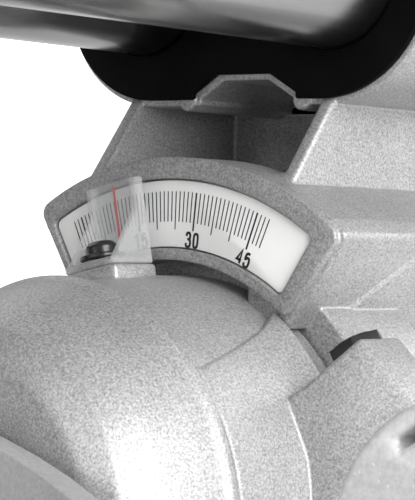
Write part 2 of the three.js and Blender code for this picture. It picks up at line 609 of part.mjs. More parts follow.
function bevelHub() {
  const { noseRadius, noseFront, rimRadius, rim, bodyRadius, body, seatRadius, seat, back, boreRadius,
    boreFront } = HUB;
  const dome = Array.from({ length: HUB.domeSteps + 1 }, (_, i) => {
    const angle = radians((90 * i) / HUB.domeSteps);
    return [noseRadius + (rimRadius - noseRadius) * Math.sin(angle),
      rim - (rim - noseFront) * Math.cos(angle)];
  });
  const barrel = turned([
    [0, noseFront], ...dome, [bodyRadius, body], [bodyRadius, seat - GAP], [seatRadius, seat],
    [seatRadius, back], [boreRadius, back], [boreRadius, boreFront], [0, boreFront],
  ], Y, [0, 0, 0], FINE_FACETS);
  const neck = block(
    -HUB.neckHalfWidth, HUB.neckHalfWidth, HUB.neckFront, half(seat), HUB.neckBottom, HUB.neckTop);
  const core = rod(Y, boreRadius, boreFront, back + OVERRUN, [0, 0, 0]);
  const pad = turnedAbout(block(
    -HUB.padHalfWidth, HUB.padHalfWidth, HUB.padFront, HUB.padBack, HUB.padRoot, HUB.padTop), Y,
    POINTER.angle);
  const stop = plateY(stopOutline(), STOP_BLOCK.front, STOP_BLOCK.back);
  const leftStop = turnedAbout(mirrored(stop), Y, -leftStopTurn);
  const seatFlat = turnedAbout(block(
    -POINTER.halfWidth - GAP, POINTER.halfWidth + GAP, POINTER.footFront - GAP, POINTER.windowBack + GAP,
    HUB.padTop, HUB.bodyRadius + OVERRUN), Y, POINTER.angle);
  const tableFace = block(
    -TABLE.radius, TABLE.radius, noseFront - OVERRUN, HUB.neckFront + GAP, -TABLE.top, HUB.overTable);
  let hub = cut(join(barrel, neck.subtract(core), pad, stop, leftStop), seatFlat, tableFace);
  [[STOP_BLOCK.topAngle, 1], [mirroredAngle(STOP_BLOCK.topAngle), -1]].forEach(([angle, side]) => {
    const [x, z] = polar(STOP_BOLT.at, angle);
    const hole = turnedAbout(rod(
      Z, STOP_BOLT.holeRadius, -STOP_BOLT.length, STOP_BOLT.length, [0, 0, 0], SMALL_FACETS), Y,
      angle - 90 * side);
    hub = hub.subtract(shifted(hole, x, STOP_BOLT.y, z));
  });
  const [screwX, screwZ] = polar(HUB.padTop, POINTER.angle);
  const screwHole = turnedAbout(rod(
    Z, POINTER_SCREW.radius + GAP, -POINTER_SCREW.length, OVERRUN, [0, 0, 0], SMALL_FACETS), Y,
    POINTER.angle);
  return hub.subtract(shifted(screwHole, screwX, POINTER.screwAt, screwZ));
}

function stopBolt() {
  const { acrossFlats, headHeight, radius, length, standOff } = STOP_BOLT;
  const head = plateZ(hexagon(acrossFlats), standOff, standOff + headHeight);
  const middle = standOff + half(headHeight);
  return head.add(rod(Z, radius, middle - length, middle, [0, 0, 0], SMALL_FACETS));
}

function bevelPointer() {
  const { halfWidth, footFront, footThickness, windowThickness, windowBack, top, ribThickness, ribTop,
    screwAt } = POINTER;
  const bottom = HUB.padTop + GAP;
  const foot = block(-halfWidth, halfWidth, footFront, windowBack, bottom, bottom + footThickness);
  const window = block(-halfWidth, halfWidth, windowBack - windowThickness, windowBack, bottom, top);
  const gusset = [[footFront, bottom], [windowBack, bottom], [windowBack, ribTop],
    [windowBack - windowThickness, ribTop]];
  const screwHole = rod(Z, POINTER_SCREW.radius + GAP, bottom - OVERRUN, bottom + OVERRUN, [0, screwAt, 0],
    SMALL_FACETS);
  return join(
    foot, window, plateX(gusset, -halfWidth, ribThickness - halfWidth),
    plateX(gusset, halfWidth - ribThickness, halfWidth),
  ).subtract(screwHole);
}

function pointerScrew() {
  const {
    headRadius, headHeight, flangeRadius, flangeHeight, radius, length, crownShare, rimShare, slotShare,
    slotWidthShare,
  } = POINTER_SCREW;
  const seat = HUB.padTop + 2 * GAP + POINTER.footThickness;
  const crown = seat + flangeHeight + headHeight;
  const screw = turned([
    [0, crown - length - headHeight], [radius, crown - length - headHeight], [radius, seat],
    [flangeRadius, seat], [flangeRadius, seat + flangeHeight], [headRadius, seat + flangeHeight],
    [headRadius, seat + flangeHeight + headHeight * rimShare], [headRadius * crownShare, crown], [0, crown],
  ], Z, [0, 0, 0], SMALL_FACETS);
  const arm = headRadius * slotShare;
  const slit = arm * slotWidthShare;
  const depth = crown - half(headHeight);
  return shifted(cut(
    screw, block(-arm, arm, -slit, slit, depth, crown + OVERRUN),
    block(-slit, slit, -arm, arm, depth, crown + OVERRUN),
  ), 0, POINTER.screwAt, 0);
}

const pivotBolt = () => rod(Y, PIVOT_BOLT.radius, PIVOT_BOLT.front, PIVOT_BOLT.back, [0, 0, 0]);

function bevelLever() {
  const { hubRadius, front, back, reach, halfWidth, tipHalfWidth, tipAngle, thickness,
    angle } = BEVEL_LEVER;
  const bar = plateY([
    [0, -halfWidth], [reach, -tipHalfWidth],
    ...arc(reach, 0, tipHalfWidth, -tipAngle, tipAngle, CORNER_STEPS),
    [reach, tipHalfWidth], [0, halfWidth],
  ], back - thickness, back);
  const lever = rod(Y, hubRadius, front, back, [0, 0, 0]).add(bar);
  return turnedAbout(lever, Y, angle - 90).subtract(rod(
    Y, PIVOT_BOLT.radius + GAP, front - OVERRUN, back + OVERRUN, [0, 0, 0]));
}

// Tilting arm, in the same frame as the hub

const limitAngle = STOP_BLOCK.topAngle - BEVEL_LIMIT.right;
const headReach = STOP_BOLT.standOff + STOP_BOLT.headHeight + GAP;

// The lug meets its stop bolt's head face to face when the arm reaches its limit
function stopLug() {
  const [alongX, alongZ] = polar(1, limitAngle);
  const onFace = (radius) => [radius * alongX - headReach * alongZ, radius * alongZ + headReach * alongX];
  return plateY([
    onFace(FRAME.outer), onFace(FRAME.inner), polar(FRAME.inner, FRAME.lugAngle),
    polar(FRAME.outer, FRAME.lugAngle),
  ], FRAME.front, FRAME.back);
}

const carrierOutline = (grow) => stadium(
  0, CARRIER.height, CARRIER.halfWidth + grow, CARRIER.radius + grow, FACETS);

// The groove under the carrier, drawn in by the rim of the casting round it
function notchOutline(inset) {
  const { notchLeft, notchRight, notchTopLeft, notchTopRight, notchDrop, height, radius } = CARRIER;
  const notchTop = height - notchDrop;
  const low = height - radius - OVERRUN;
  const bottom = height - radius;
  return [
    [notchLeft + inset, low], [notchRight - inset, low], [notchRight - inset, bottom],
    [notchTopRight - inset, notchTop - inset], [notchTopLeft + inset, notchTop - inset],
    [notchLeft + inset, bottom],
  ];
}

const railSides = [-1, 1];
const bushingRadius = RAIL.radius + SLIDING_GAP + BUSHING.wall;
const alongRails = (shape) => railSides.map((side) => shape([side * RAIL.halfSpacing, 0, CARRIER.height]));
const knobHole = () => rod(
  X, RAIL_KNOB.stemRadius + GAP, RAIL.halfSpacing + half(RAIL.radius),
  CARRIER.halfWidth + CARRIER.rim + OVERRUN, [0, RAIL_KNOB.at, CARRIER.height], SMALL_FACETS);

function shoulder() {
  const {
    left, right, bottomHeight, bandHeight, bandOut, shelfHeight, shelfOut, flankReach, flankHeight,
    shoulderFront, shoulderBack, shoulderBottom,
  } = COLUMN;
  return plateY([
    [flankReach, shoulderBottom], [flankReach, flankHeight],
    [right + shelfOut, shelfHeight], [right + bandOut, bandHeight], [right, bottomHeight],
    [left, bottomHeight], [left - bandOut, bandHeight], [left - shelfOut, shelfHeight],
    [-flankReach, flankHeight], [-flankReach, shoulderBottom],
  ], shoulderFront, shoulderBack);
}

function column() {
  const {
    left, right, wall, frontBottom, frontTop, bottomHeight, topDrop, recessBack, recessFloor,
    recessTopDrop, back, flankHeight, shoulderFront, shoulderBack,
  } = COLUMN;
  const topHeight = CARRIER.height - topDrop;
  const recessTop = CARRIER.height - recessTopDrop;
  const post = plateX([
    [frontBottom, bottomHeight - OVERRUN], [shoulderFront, flankHeight], [shoulderBack, flankHeight],
    [back, topHeight - OVERRUN], [back, topHeight], [frontTop, topHeight], [frontBottom, bottomHeight],
  ], left, right);
  return post.subtract(block(left + wall, right - wall, -OVERRUN, recessBack, recessFloor, recessTop));
}

function tiltArm() {
  const {
    inner, outer, halfAngle, front, back, corner, plateInner, plateOuter, plateThickness, bedHalfAngle,
    bedCorner,
  } = FRAME;
  const frame = plateY(bentBox(inner, outer, halfAngle, corner), front, back);
  const flange = rod(Y, FLANGE.radius, FLANGE.front, FLANGE.back, [0, 0, 0], FINE_FACETS);
  const lug = stopLug();
  const casing = plateY(carrierOutline(CARRIER.rim), CARRIER.front, CARRIER.back);
  const ears = CARRIER.earPlaces.map((x) => rod(
    Y, CARRIER.earRadius, CARRIER.front, CARRIER.back, [x, 0, CARRIER.height - CARRIER.earDrop],
    SMALL_FACETS));
  const gutter = plateY(notchOutline(CARRIER.rim), CARRIER.front - OVERRUN, COLUMN.recessBack);
  const plateBed = plateY(
    bentBox(plateInner - GAP, plateOuter + GAP, bedHalfAngle, bedCorner), front - OVERRUN,
    plateThickness + GAP);
  return cut(
    join(frame, flange, lug, mirrored(lug), shoulder(), column(), casing.subtract(gutter), ...ears),
    plateBed,
    ...alongRails((at) => rod(Y, bushingRadius + GAP, CARRIER.front - OVERRUN, CARRIER.back + OVERRUN, at)),
    rod(Y, FLANGE.boreRadius, FLANGE.front - OVERRUN, FLANGE.back + OVERRUN, [0, 0, 0]),
    knobHole(),
  );
}

function scalePlate() {
  const { plateInner, plateOuter, plateHalfAngle, plateThickness, plateCorner } = FRAME;
  return plateY(bentBox(plateInner, plateOuter, plateHalfAngle, plateCorner), 0, plateThickness);
}

function sealPlate(front, back) {
  return cut(
    plateY(carrierOutline(0), front, back),
    ...alongRails((at) => rod(Y, RAIL.radius + SLIDING_GAP, front - OVERRUN, back + OVERRUN, at)),
    plateY(notchOutline(0), front - OVERRUN, back + OVERRUN),
  );
}

const sealThickness = CARRIER.front - GAP - CARRIER.sealFront;

const bushing = (side) => tube(
  Y, RAIL.radius + SLIDING_GAP, bushingRadius, CARRIER.front + GAP, CARRIER.back - GAP,
  [side * RAIL.halfSpacing, 0, CARRIER.height]).subtract(knobHole());

function railKnob() {
  const { radius, length, stemRadius, stemLength, lobes, lobeShare } = RAIL_KNOB;
  const stemFrom = RAIL.halfSpacing + RAIL.radius + SLIDING_GAP;
  const gripFrom = CARRIER.halfWidth + CARRIER.rim + half(stemLength);
  const grip = plateX(lobed(radius, lobes, lobeShare, SMALL_FACETS), gripFrom, gripFrom + length);
  return shifted(grip.add(rod(X, stemRadius, stemFrom, gripFrom + half(length), [0, 0, 0], SMALL_FACETS)),
    0, RAIL_KNOB.at, CARRIER.height);
}

// Rails, rear bridge and yoke, in the arm's frame

const yokeBack = YOKE.behind - SLIDE_SHOWN;
const yokeFront = yokeBack - YOKE.length;
const railFront = yokeBack - YOKE.socket;
const railBack = CARRIER.back + RAIL.behind;
const pivotAt = [0, yokeBack - YOKE.pivotAhead, CARRIER.height + YOKE.pivotRise];
const latchAt = [0, pivotAt[1] - LATCH_PIN.ahead, pivotAt[2] - LATCH_PIN.drop];

const rail = (side) => tube(
  Y, RAIL.radius - RAIL.wall, RAIL.radius, railFront, railBack,
  [side * RAIL.halfSpacing, 0, CARRIER.height]);

const socketCuts = (from, to) => alongRails((at) => rod(Y, RAIL.radius + GAP, from, to, at));

function rearBridge() {
  const front = railBack - BRIDGE.socket;
  const bridge = plateY(carrierOutline(0), front, front + BRIDGE.length);
  return cut(bridge, ...socketCuts(front - OVERRUN, railBack + GAP));
}

function headYoke() {
  const body = plateY(carrierOutline(0), yokeFront, yokeBack);
  const [, pivotY, pivotZ] = pivotAt;
  const ears = railSides.map((side) => {
    const lobe = plateX([
      ...arc(pivotY, pivotZ, YOKE.earRadius, 0, 180, FACETS / 2),
      [yokeFront, CARRIER.height], [yokeBack, CARRIER.height],
    ], YOKE.earInner, YOKE.earOuter);
    return onSide(lobe, side);
  });
  return cut(
    join(body, ...ears), ...socketCuts(railFront - GAP, yokeBack + OVERRUN),
    rod(X, CHOP_PIN.radius + GAP, -YOKE.earOuter - OVERRUN, YOKE.earOuter + OVERRUN, pivotAt, SMALL_FACETS),
    rod(X, LATCH_PIN.radius + GAP, YOKE.earInner - OVERRUN, YOKE.earOuter + OVERRUN, latchAt, SMALL_FACETS),
  );
}

function chopPin() {
  const { radius, headRadius, headHeight } = CHOP_PIN;
  const end = YOKE.earOuter + GAP;
  return turned([
    [0, -end - headHeight], [headRadius, -end - headHeight], [headRadius, -end], [radius, -end],
    [radius, end], [0, end],
  ], X, pivotAt, SMALL_FACETS);
}

function latchPin() {
  const { radius, knobRadius, knobLength, inner } = LATCH_PIN;
  const outer = YOKE.earOuter + GAP + LATCH_PIN.travel;
  return turned([
    [0, inner], [radius, inner], [radius, outer], [knobRadius, outer], [knobRadius, outer + knobLength],
    [0, outer + knobLength],
  ], X, latchAt, SMALL_FACETS);
}

// The return spring is one unbroken wire wound round the chop pin
function returnSpring() {
  const { wire, radius, curls, pitch, left, steps, sides } = SPRING;
  const count = curls * steps;
  const centres = Array.from({ length: count + 1 }, (_, i) => {
    const angle = (i / steps) * 2 * Math.PI;
    return new THREE.Vector3(left + (i / steps) * pitch, radius * Math.cos(angle),
      radius * Math.sin(angle));
  });
  const spots = [];
  const corners = [];
  centres.forEach((centre, i) => {
    const outward = new THREE.Vector3(0, centre.y, centre.z).normalize();
    for (let side = 0; side < sides; side += 1) {
      const angle = (side / sides) * 2 * Math.PI;
      const spot = centre.clone().addScaledVector(outward, half(wire) * Math.cos(angle));
      spots.push(...spot.addScaledVector(X, half(wire) * Math.sin(angle)).toArray());
      if (i === count) continue;
      const [a, b] = [i * sides + side, i * sides + ((side + 1) % sides)];
      corners.push(a, b, a + sides, b, b + sides, a + sides);
    }
  });
  for (let side = 1; side < sides - 1; side += 1) {
    const last = count * sides;
    corners.push(0, side + 1, side, last, last + side, last + side + 1);
  }
  const geometry = new THREE.BufferGeometry();
  geometry.setAttribute('position', new THREE.Float32BufferAttribute(spots, 3));
  geometry.setIndex(corners);
  let least = Infinity;
  centres.forEach((a, i) => centres.slice(i + half(steps)).forEach((b) => {
    least = Math.min(least, a.distanceTo(b) - wire);
  }));
  console.log('return spring, least gap to itself', least.toFixed(2), 'mm');
  return solid(geometry);
}

// Head, in a frame whose origin is on the chop pin, with the blade at the bottom of its stroke

const arborAt = [0, -ARBOR.ahead, -ARBOR.drop];
const gearDistance = half(toothModule * (GEARS.wheelTeeth + GEARS.pinionTeeth));
const motorAt = [
  0, arborAt[1] + gearDistance * Math.cos(radians(GEARS.motorAngle)),
  arborAt[2] + gearDistance * Math.sin(radians(GEARS.motorAngle)),
];

const arborDisc = (radius, left, right, facets = FINE_FACETS) => rod(
  X, radius, left, right, arborAt, facets);
const aroundArbor = (radius, from, to, steps) => arc(arborAt[1], arborAt[2], radius, from, to, steps);

// Each tooth is a list of shares: along its pitch, and down its gullet
function sawBlade() {
  const { radius, halfThickness, teeth, gullet, toothShares } = BLADE;
  const outline = Array.from({ length: teeth }, (_, tooth) => toothShares.map(([along, down]) => {
    const angle = radians((360 / teeth) * (tooth + along));
    const reach = radius - gullet * down;
    return [arborAt[1] + reach * Math.cos(angle), arborAt[2] + reach * Math.sin(angle)];
  })).flat();
  const bore = circle(arborAt[1], arborAt[2], BLADE.boreRadius, SMALL_FACETS);
  return plateX(outline, -halfThickness, halfThickness, [bore]);
}

const flangeInner = BLADE.halfThickness + GAP;

function bladeFlange(side) {
  const ring = tube(
    X, BLADE.boreRadius, FLANGES.radius, flangeInner, flangeInner + FLANGES.thickness, [0, 0, 0]);
  return shifted(onSide(ring, side), ...arborAt);
}

function arborBolt() {
  const { acrossFlats, height, washerRadius, washerHeight } = ARBOR_BOLT;
  const seat = -flangeInner - FLANGES.thickness - GAP;
  const washer = rod(X, washerRadius, seat - washerHeight, seat, [0, 0, 0], SMALL_FACETS);
  const head = plateX(hexagon(acrossFlats), seat - washerHeight - height, seat - washerHeight);
  const stem = rod(
    X, SPINDLE.threadRadius, seat - half(washerHeight), seat + SPINDLE.threadLength, [0, 0, 0], SMALL_FACETS);
  return shifted(join(washer, head, stem), ...arborAt);
}

function spindle() {
  const from = -flangeInner - FLANGES.thickness + GAP;
  const socket = from + SPINDLE.threadLength + GAP;
  return turned([
    [0, socket], [SPINDLE.threadRadius + GAP, socket], [SPINDLE.threadRadius + GAP, from],
    [SPINDLE.radius, from], [SPINDLE.radius, SPINDLE.end], [0, SPINDLE.end],
  ], X, arborAt, FACETS);
}

// Involute teeth, thinned by the backlash; a tooth's centre lies at the first angle
function gearOutline(teeth, centre, first) {
  const { addendumShare, rootShare, pressureAngle, backlash, flankSteps } = GEARS;
  const pitchRadius = half(toothModule * teeth);
  const baseRadius = pitchRadius * Math.cos(radians(pressureAngle));
  const tipRadius = pitchRadius + toothModule * addendumShare;
  const rootRadius = pitchRadius - toothModule * rootShare;
  const involute = (radius) => {
    const turn = Math.sqrt(Math.max(0, (radius / baseRadius) ** 2 - 1));
    return turn - Math.atan(turn);
  };
  const toothAtPitch = half(Math.PI / teeth) - half(half(backlash)) / pitchRadius;
  const halfTooth = toothAtPitch + involute(pitchRadius);
  const flankStart = Math.max(baseRadius, rootRadius);
  const flank = Array.from({ length: flankSteps + 1 }, (_, i) => {
    const radius = flankStart + ((tipRadius - flankStart) * i) / flankSteps;
    return [radius, halfTooth - involute(radius)];
  });
  if (rootRadius < baseRadius) flank.unshift([rootRadius, halfTooth]);
  return Array.from({ length: teeth }, (_, i) => {
    const middle = first + (i * 2 * Math.PI) / teeth;
    return [
      ...flank.map(([radius, spread]) => [radius, middle - spread]),
      ...flank.slice().reverse().map(([radius, spread]) => [radius, middle + spread]),
    ];
  }).flat().map(([radius, angle]) => [
    centre[1] + radius * Math.cos(angle), centre[2] + radius * Math.sin(angle),
  ]);
}

function driveGear() {
  const bore = circle(arborAt[1], arborAt[2], SPINDLE.radius + GAP, SMALL_FACETS);
  const teeth = gearOutline(GEARS.wheelTeeth, arborAt, radians(GEARS.motorAngle));
  return plateX(teeth, SPINDLE.gearLeft, SPINDLE.gearRight, [bore]);
}

function motorRotor() {
  const { rotorRadius, shaftRadius, shaftEnd, pinionLeft, pinionRight, statorLeft, statorRight } = MOTOR;
  const facing = radians(GEARS.motorAngle) + Math.PI + Math.PI / GEARS.pinionTeeth;
  const pinion = plateX(gearOutline(GEARS.pinionTeeth, motorAt, facing), pinionLeft, pinionRight);
  const shaft = rod(X, shaftRadius, half(pinionLeft + pinionRight), shaftEnd, motorAt, SMALL_FACETS);
  const rotor = rod(X, rotorRadius, statorLeft + OVERRUN, statorRight - OVERRUN, motorAt);
  return join(pinion, shaft, rotor);
}

const motorStator = () => tube(X, MOTOR.statorInner, MOTOR.statorOuter, MOTOR.statorLeft, MOTOR.statorRight,
  motorAt);

function caseOutline(grow) {
  const angle = GEARS.motorAngle;
  const shareOfGap = (GEAR_CASE.radius - GEAR_CASE.motorRadius) / gearDistance;
  const lean = THREE.MathUtils.radToDeg(Math.acos(shareOfGap));
  return [
    ...arc(arborAt[1], arborAt[2], GEAR_CASE.radius + grow, angle + lean, angle + 360 - lean, FACETS / 2),
    ...arc(motorAt[1], motorAt[2], GEAR_CASE.motorRadius + grow, angle - lean, angle + lean, FACETS / 2),
  ];
}

const lampAt = [LAMP.offset, arborAt[1] - LAMP.ahead, arborAt[2]];

function gearCase() {
  const { left, right, wall, bossLeft } = GEAR_CASE;
  const floor = left + 2 * wall;
  const holder = rod(Z, LAMP.radius + LAMP.holderWall, -half(LAMP.length), half(LAMP.length) + wall, lampAt,
    SMALL_FACETS);
  return cut(
    join(
      plateX(caseOutline(0), left, right), holder,
      arborDisc(SPINDLE.bossRadius, bossLeft, left + wall, FACETS)),
    plateX(caseOutline(-wall), floor, right + OVERRUN),
    rod(Z, LAMP.radius + GAP, -LAMP.length, half(LAMP.length) + GAP, lampAt, SMALL_FACETS),
    arborDisc(SPINDLE.radius + GAP, bossLeft - OVERRUN, floor + OVERRUN, SMALL_FACETS),
  );
}

function gearCover() {
  const left = GEAR_CASE.right + GAP;
  const cover = plateX(caseOutline(0), left, left + GEAR_CASE.coverThickness);
  return cut(
    cover,
    arborDisc(SPINDLE.radius + GAP, left - OVERRUN, SPINDLE.end + GAP, SMALL_FACETS),
    rod(X, MOTOR.spigotRadius, left - OVERRUN, left + 2 * OVERRUN, motorAt),
  );
}

function motorHousing() {
  const { left, right, radius, wall, endRadius, endTaper, ventRadius } = MOTOR;
  return turned([
    [radius - wall, left], [radius, left], [radius, right - endTaper], [endRadius, right],
    [ventRadius, right], [ventRadius, right - wall], [endRadius - half(wall), right - wall],
    [radius - wall, right - endTaper - half(wall)], [radius - wall, left],
  ], X, motorAt, FACETS);
}

// Places a piece that is modelled along Z on the line that leaves the arbor at the spout's angle
const alongSpout = (part) => moved(part, new THREE.Matrix4().makeTranslation(...arborAt).multiply(
  new THREE.Matrix4().makeRotationX(radians(SPOUT.angle - 90))));

function headCasting() {
  const c = CASTING;
  const edge = arborAt[2] + c.lowerEdge;
  const shell = plateX(aroundArbor(casingOuter, c.edgeAngle, 180 - c.edgeAngle, FACETS), -c.halfWidth,
    c.halfWidth);
  const neck = plateX([
    ...arc(0, 0, c.lobeRadius, -90, c.lobeTopAngle, FACETS / 4), [-c.neckTopReach, c.neckTop],
    [-c.neckTopReach, c.neckBack], [-c.jawReach, edge], [-c.jawBack, edge], [-c.neckReach, -c.neckDrop],
  ], -c.halfWidth, c.halfWidth);
  const latchDepth = LATCH_PIN.inner - LATCH_PIN.travel - GAP;
  const latchHole = rod(
    X, LATCH_PIN.radius + GAP, latchDepth, c.halfWidth + OVERRUN, [0, -LATCH_PIN.ahead, -LATCH_PIN.drop],
    SMALL_FACETS);
  return cut(
    join(shell, neck),
    arborDisc(casingCavity, -c.cavityHalfWidth, c.cavityHalfWidth),
    arborDisc(c.accessRadius, -c.halfWidth - OVERRUN, 0, FACETS),
    arborDisc(SPINDLE.bossRadius + GAP, 0, c.halfWidth + OVERRUN, FACETS),
    rod(X, CHOP_PIN.radius + GAP, -c.halfWidth - OVERRUN, c.halfWidth + OVERRUN, [0, 0, 0], SMALL_FACETS),
    latchHole, turnedAbout(latchHole, X, HEAD_RAISED_ANGLE),
    alongSpout(rod(Z, SPOUT.holeRadius, casingCavity - OVERRUN, casingOuter + OVERRUN, [0, 0, 0],
      SMALL_FACETS)),
  );
}

function lowerGuard() {
  const { bladeGap, rim, innerHalfWidth, sheet, hubRadius, boreRadius, firstAngle,
    spanAngle } = LOWER_GUARD;
  const outer = BLADE.radius + bladeGap;
  const outerHalfWidth = innerHalfWidth + sheet;
  const lastAngle = firstAngle + spanAngle;
  const fan = (radius, inner) => [
    ...aroundArbor(radius, firstAngle, lastAngle, FACETS),
    ...aroundArbor(inner, lastAngle, firstAngle, FACETS / 4),
  ];
  const drum = plateX(fan(outer, half(boreRadius)), -outerHalfWidth, outerHalfWidth)
    .subtract(arborDisc(outer - rim, -innerHalfWidth, innerHalfWidth));
  const hub = arborDisc(hubRadius, innerHalfWidth, outerHalfWidth, FACETS);
  return join(drum, hub, mirrored(hub)).subtract(arborDisc(
    boreRadius, -outerHalfWidth - OVERRUN, outerHalfWidth + OVERRUN, FACETS));
}

// Handle halves, trigger and lock-off button

const handleAt = [-HANDLE.ahead, casingOuter - HANDLE.casingOverlap];
const gripUnder = handleAt[1] + HANDLE.openingHigh;

function handleHalf(side) {
  const { halfWidth, length, height, corner, openingHalfLength, openingLow, openingHigh, openingCorner,
    split } = HANDLE;
  const [y, z] = handleAt;
  const outline = roundedBox(y - half(length), y + half(length), z - half(height), z + half(height),
    corner);
  const opening = roundedBox(
    y - openingHalfLength, y + openingHalfLength, z + openingLow, z + openingHigh, openingCorner);
  const [near, far] = side > 0 ? [split, halfWidth] : [-halfWidth, -split];
  const triggerWell = block(
    -TRIGGER.halfWidth - GAP, TRIGGER.halfWidth + GAP, y - TRIGGER.ahead - half(TRIGGER.length) - GAP,
    y - TRIGGER.ahead + half(TRIGGER.length) + GAP, gripUnder - OVERRUN, gripUnder + TRIGGER.wellDepth);
  return cut(
    plateX(outline, near, far, [opening]),
    arborDisc(casingOuter + SLIDING_GAP, -halfWidth - OVERRUN, halfWidth + OVERRUN),
    alongSpout(rod(
      Z, SPOUT.radius + SLIDING_GAP, casingOuter, casingOuter + SPOUT.length + OVERRUN, [0, 0, 0])),
    triggerWell,
    rod(X, LOCK_OFF.radius + GAP, -halfWidth - OVERRUN, halfWidth + OVERRUN, [
      0, y + LOCK_OFF.behind, z + LOCK_OFF.rise,
    ], SMALL_FACETS),
  );
}

function trigger() {
  const y = handleAt[0] - TRIGGER.ahead;
  const outline = roundedBox(
    y - half(TRIGGER.length), y + half(TRIGGER.length), gripUnder - TRIGGER.proud,
    gripUnder + TRIGGER.wellDepth - TRIGGER.travel - 2 * GAP, TRIGGER.corner);
  return plateX(outline, -TRIGGER.halfWidth, TRIGGER.halfWidth);
}

const lockOff = () => rod(X, LOCK_OFF.radius, -HANDLE.halfWidth - LOCK_OFF.proud, HANDLE.halfWidth, [
  0, handleAt[0] + LOCK_OFF.behind, handleAt[1] + LOCK_OFF.rise,
], SMALL_FACETS);

const batteryFront = motorAt[1] + BATTERY_FOOT.seat + BATTERY_FOOT.depth;

function batteryFoot() {
  const { halfWidth, depth, bottom, top } = BATTERY_FOOT;
  const plate = block(
    BATTERY.centre - halfWidth, BATTERY.centre + halfWidth, batteryFront - depth, batteryFront, bottom,
    top);
  return plate.subtract(rod(
    X, MOTOR.radius + GAP, BATTERY.centre - halfWidth - OVERRUN, BATTERY.centre + halfWidth + OVERRUN,
    motorAt, FACETS));
}

function batteryPack() {
  const { halfWidth, depth, height, corner, centre, bottom } = BATTERY;
  const front = batteryFront + GAP;
  return plateZ(roundedBox(centre - halfWidth, centre + halfWidth, front, front + depth, corner), bottom,
    bottom + height);
}

function workLamp() {
  const { radius, length, lensRadius, proud } = LAMP;
  const low = -half(length) - proud;
  return turned([
    [0, low], [lensRadius, low], [radius, low + proud], [radius, half(length)], [0, half(length)],
  ], Z, lampAt, SMALL_FACETS);
}

function dustSpout() {
  const { radius, wall, length } = SPOUT;
  const pipe = tube(Z, radius - wall, radius, casingOuter - OVERRUN, casingOuter + length, [0, 0, 0]);
  return alongSpout(pipe).subtract(arborDisc(casingOuter + GAP, -radius - OVERRUN, radius + OVERRUN));
}

// Assembly: nested groups carry what moves with them

const saw = new THREE.Group();
saw.name = 'mitre_saw';

const base = new THREE.Group();
const footX = BASE.halfLength - BASE.footInset;
const feet = [
  ['foot_front_left', -footX, BASE.front + BASE.footSetback],
  ['foot_front_right', footX, BASE.front + BASE.footSetback],
  ['foot_rear_left', -footX, BASE.back - BASE.footSetback],
  ['foot_rear_right', footX, BASE.back - BASE.footSetback],
].map(([name, x, y]) => named(name, foot(x, y), 'rubber'));
const rightKnob = shifted(fenceKnob(), FENCE_KNOB.at, 0, TABLE.top + FENCE_KNOB.height);
base.add(
  named('base_casting', baseCasting(), 'casting'),
  named('fence_casting', fenceCasting(), 'smoothCasting'),
  named('mitre_scale', mitreScale(), 'scale'),
  named('mitre_pivot_bolt', mitreBolt(), 'steel'),
  named('sliding_fence_right', slidingFence(), 'smoothCasting'),
  named('sliding_fence_left', mirrored(slidingFence()), 'smoothCasting'),
  named('fence_knob_right', rightKnob, 'blackPlastic'),
  named('fence_knob_left', mirrored(rightKnob), 'blackPlastic'),
  ...feet,
);

const turntable = new THREE.Group();
turntable.add(
  named('turntable', turntableCasting(), 'machined'),
  named('kerf_plate', kerfInsert(), 'blackPlastic'),
  named('mitre_lock_rod', lockRod(), 'steel'),
  named('mitre_lock_handle', lockHandle(), 'blackPlastic'),
  named('detent_lever', detentLever(), 'steel'),
  named('mitre_pointer', mitrePointer(), 'red'),
);

const hubGroup = new THREE.Group();
hubGroup.position.set(0, SCALE_PLANE, TABLE.top);
const pointerGroup = new THREE.Group();
pointerGroup.rotation.y = radians(POINTER.angle);
pointerGroup.add(
  named('bevel_pointer', bevelPointer(), 'clear'),
  named('pointer_screw', pointerScrew(), 'blackSteel'),
);
const stopBolts = [
  ['stop_bolt_upright', STOP_BLOCK.topAngle, 1],
  ['stop_bolt_tilted', mirroredAngle(STOP_BLOCK.topAngle), -1],
].map(([name, angle, side]) => {
  const bolt = named(name, stopBolt(), 'blackSteel');
  const [x, z] = polar(STOP_BOLT.at, angle);
  bolt.position.set(x, STOP_BOLT.y, z);
  bolt.rotation.y = radians(angle - 90 * side);
  return bolt;
});
hubGroup.add(
  named('bevel_hub', bevelHub(), 'casting'),
  named('bevel_pivot_bolt', pivotBolt(), 'steel'),
  named('bevel_lock_lever', bevelLever(), 'blackPlastic'),
  pointerGroup, ...stopBolts,
);

const arm = new THREE.Group();
arm.position.copy(hubGroup.position);
arm.rotation.y = radians(-BEVEL_SHOWN_ANGLE);
arm.add(
  named('tilt_arm', tiltArm(), 'casting'),
  named('scale_plate', scalePlate(), 'scale'),
  named('front_seal_plate', sealPlate(CARRIER.sealFront, CARRIER.front - GAP), 'blackPlastic'),
  named('rear_seal_plate', sealPlate(CARRIER.back + GAP, CARRIER.back + GAP + sealThickness),
    'blackPlastic'),
  named('rail_bushing_left', bushing(-1), 'steel'),
  named('rail_bushing_right', bushing(1), 'steel'),
  named('rail_lock_knob', railKnob(), 'blackPlastic'),
  named('rail_left', rail(-1), 'chrome'),
  named('rail_right', rail(1), 'chrome'),
  named('rear_bridge', rearBridge(), 'blackPlastic'),
  named('head_yoke', headYoke(), 'casting'),
  named('chop_pin', chopPin(), 'steel'),
  named('head_latch_pin', latchPin(), 'blackPlastic'),
);

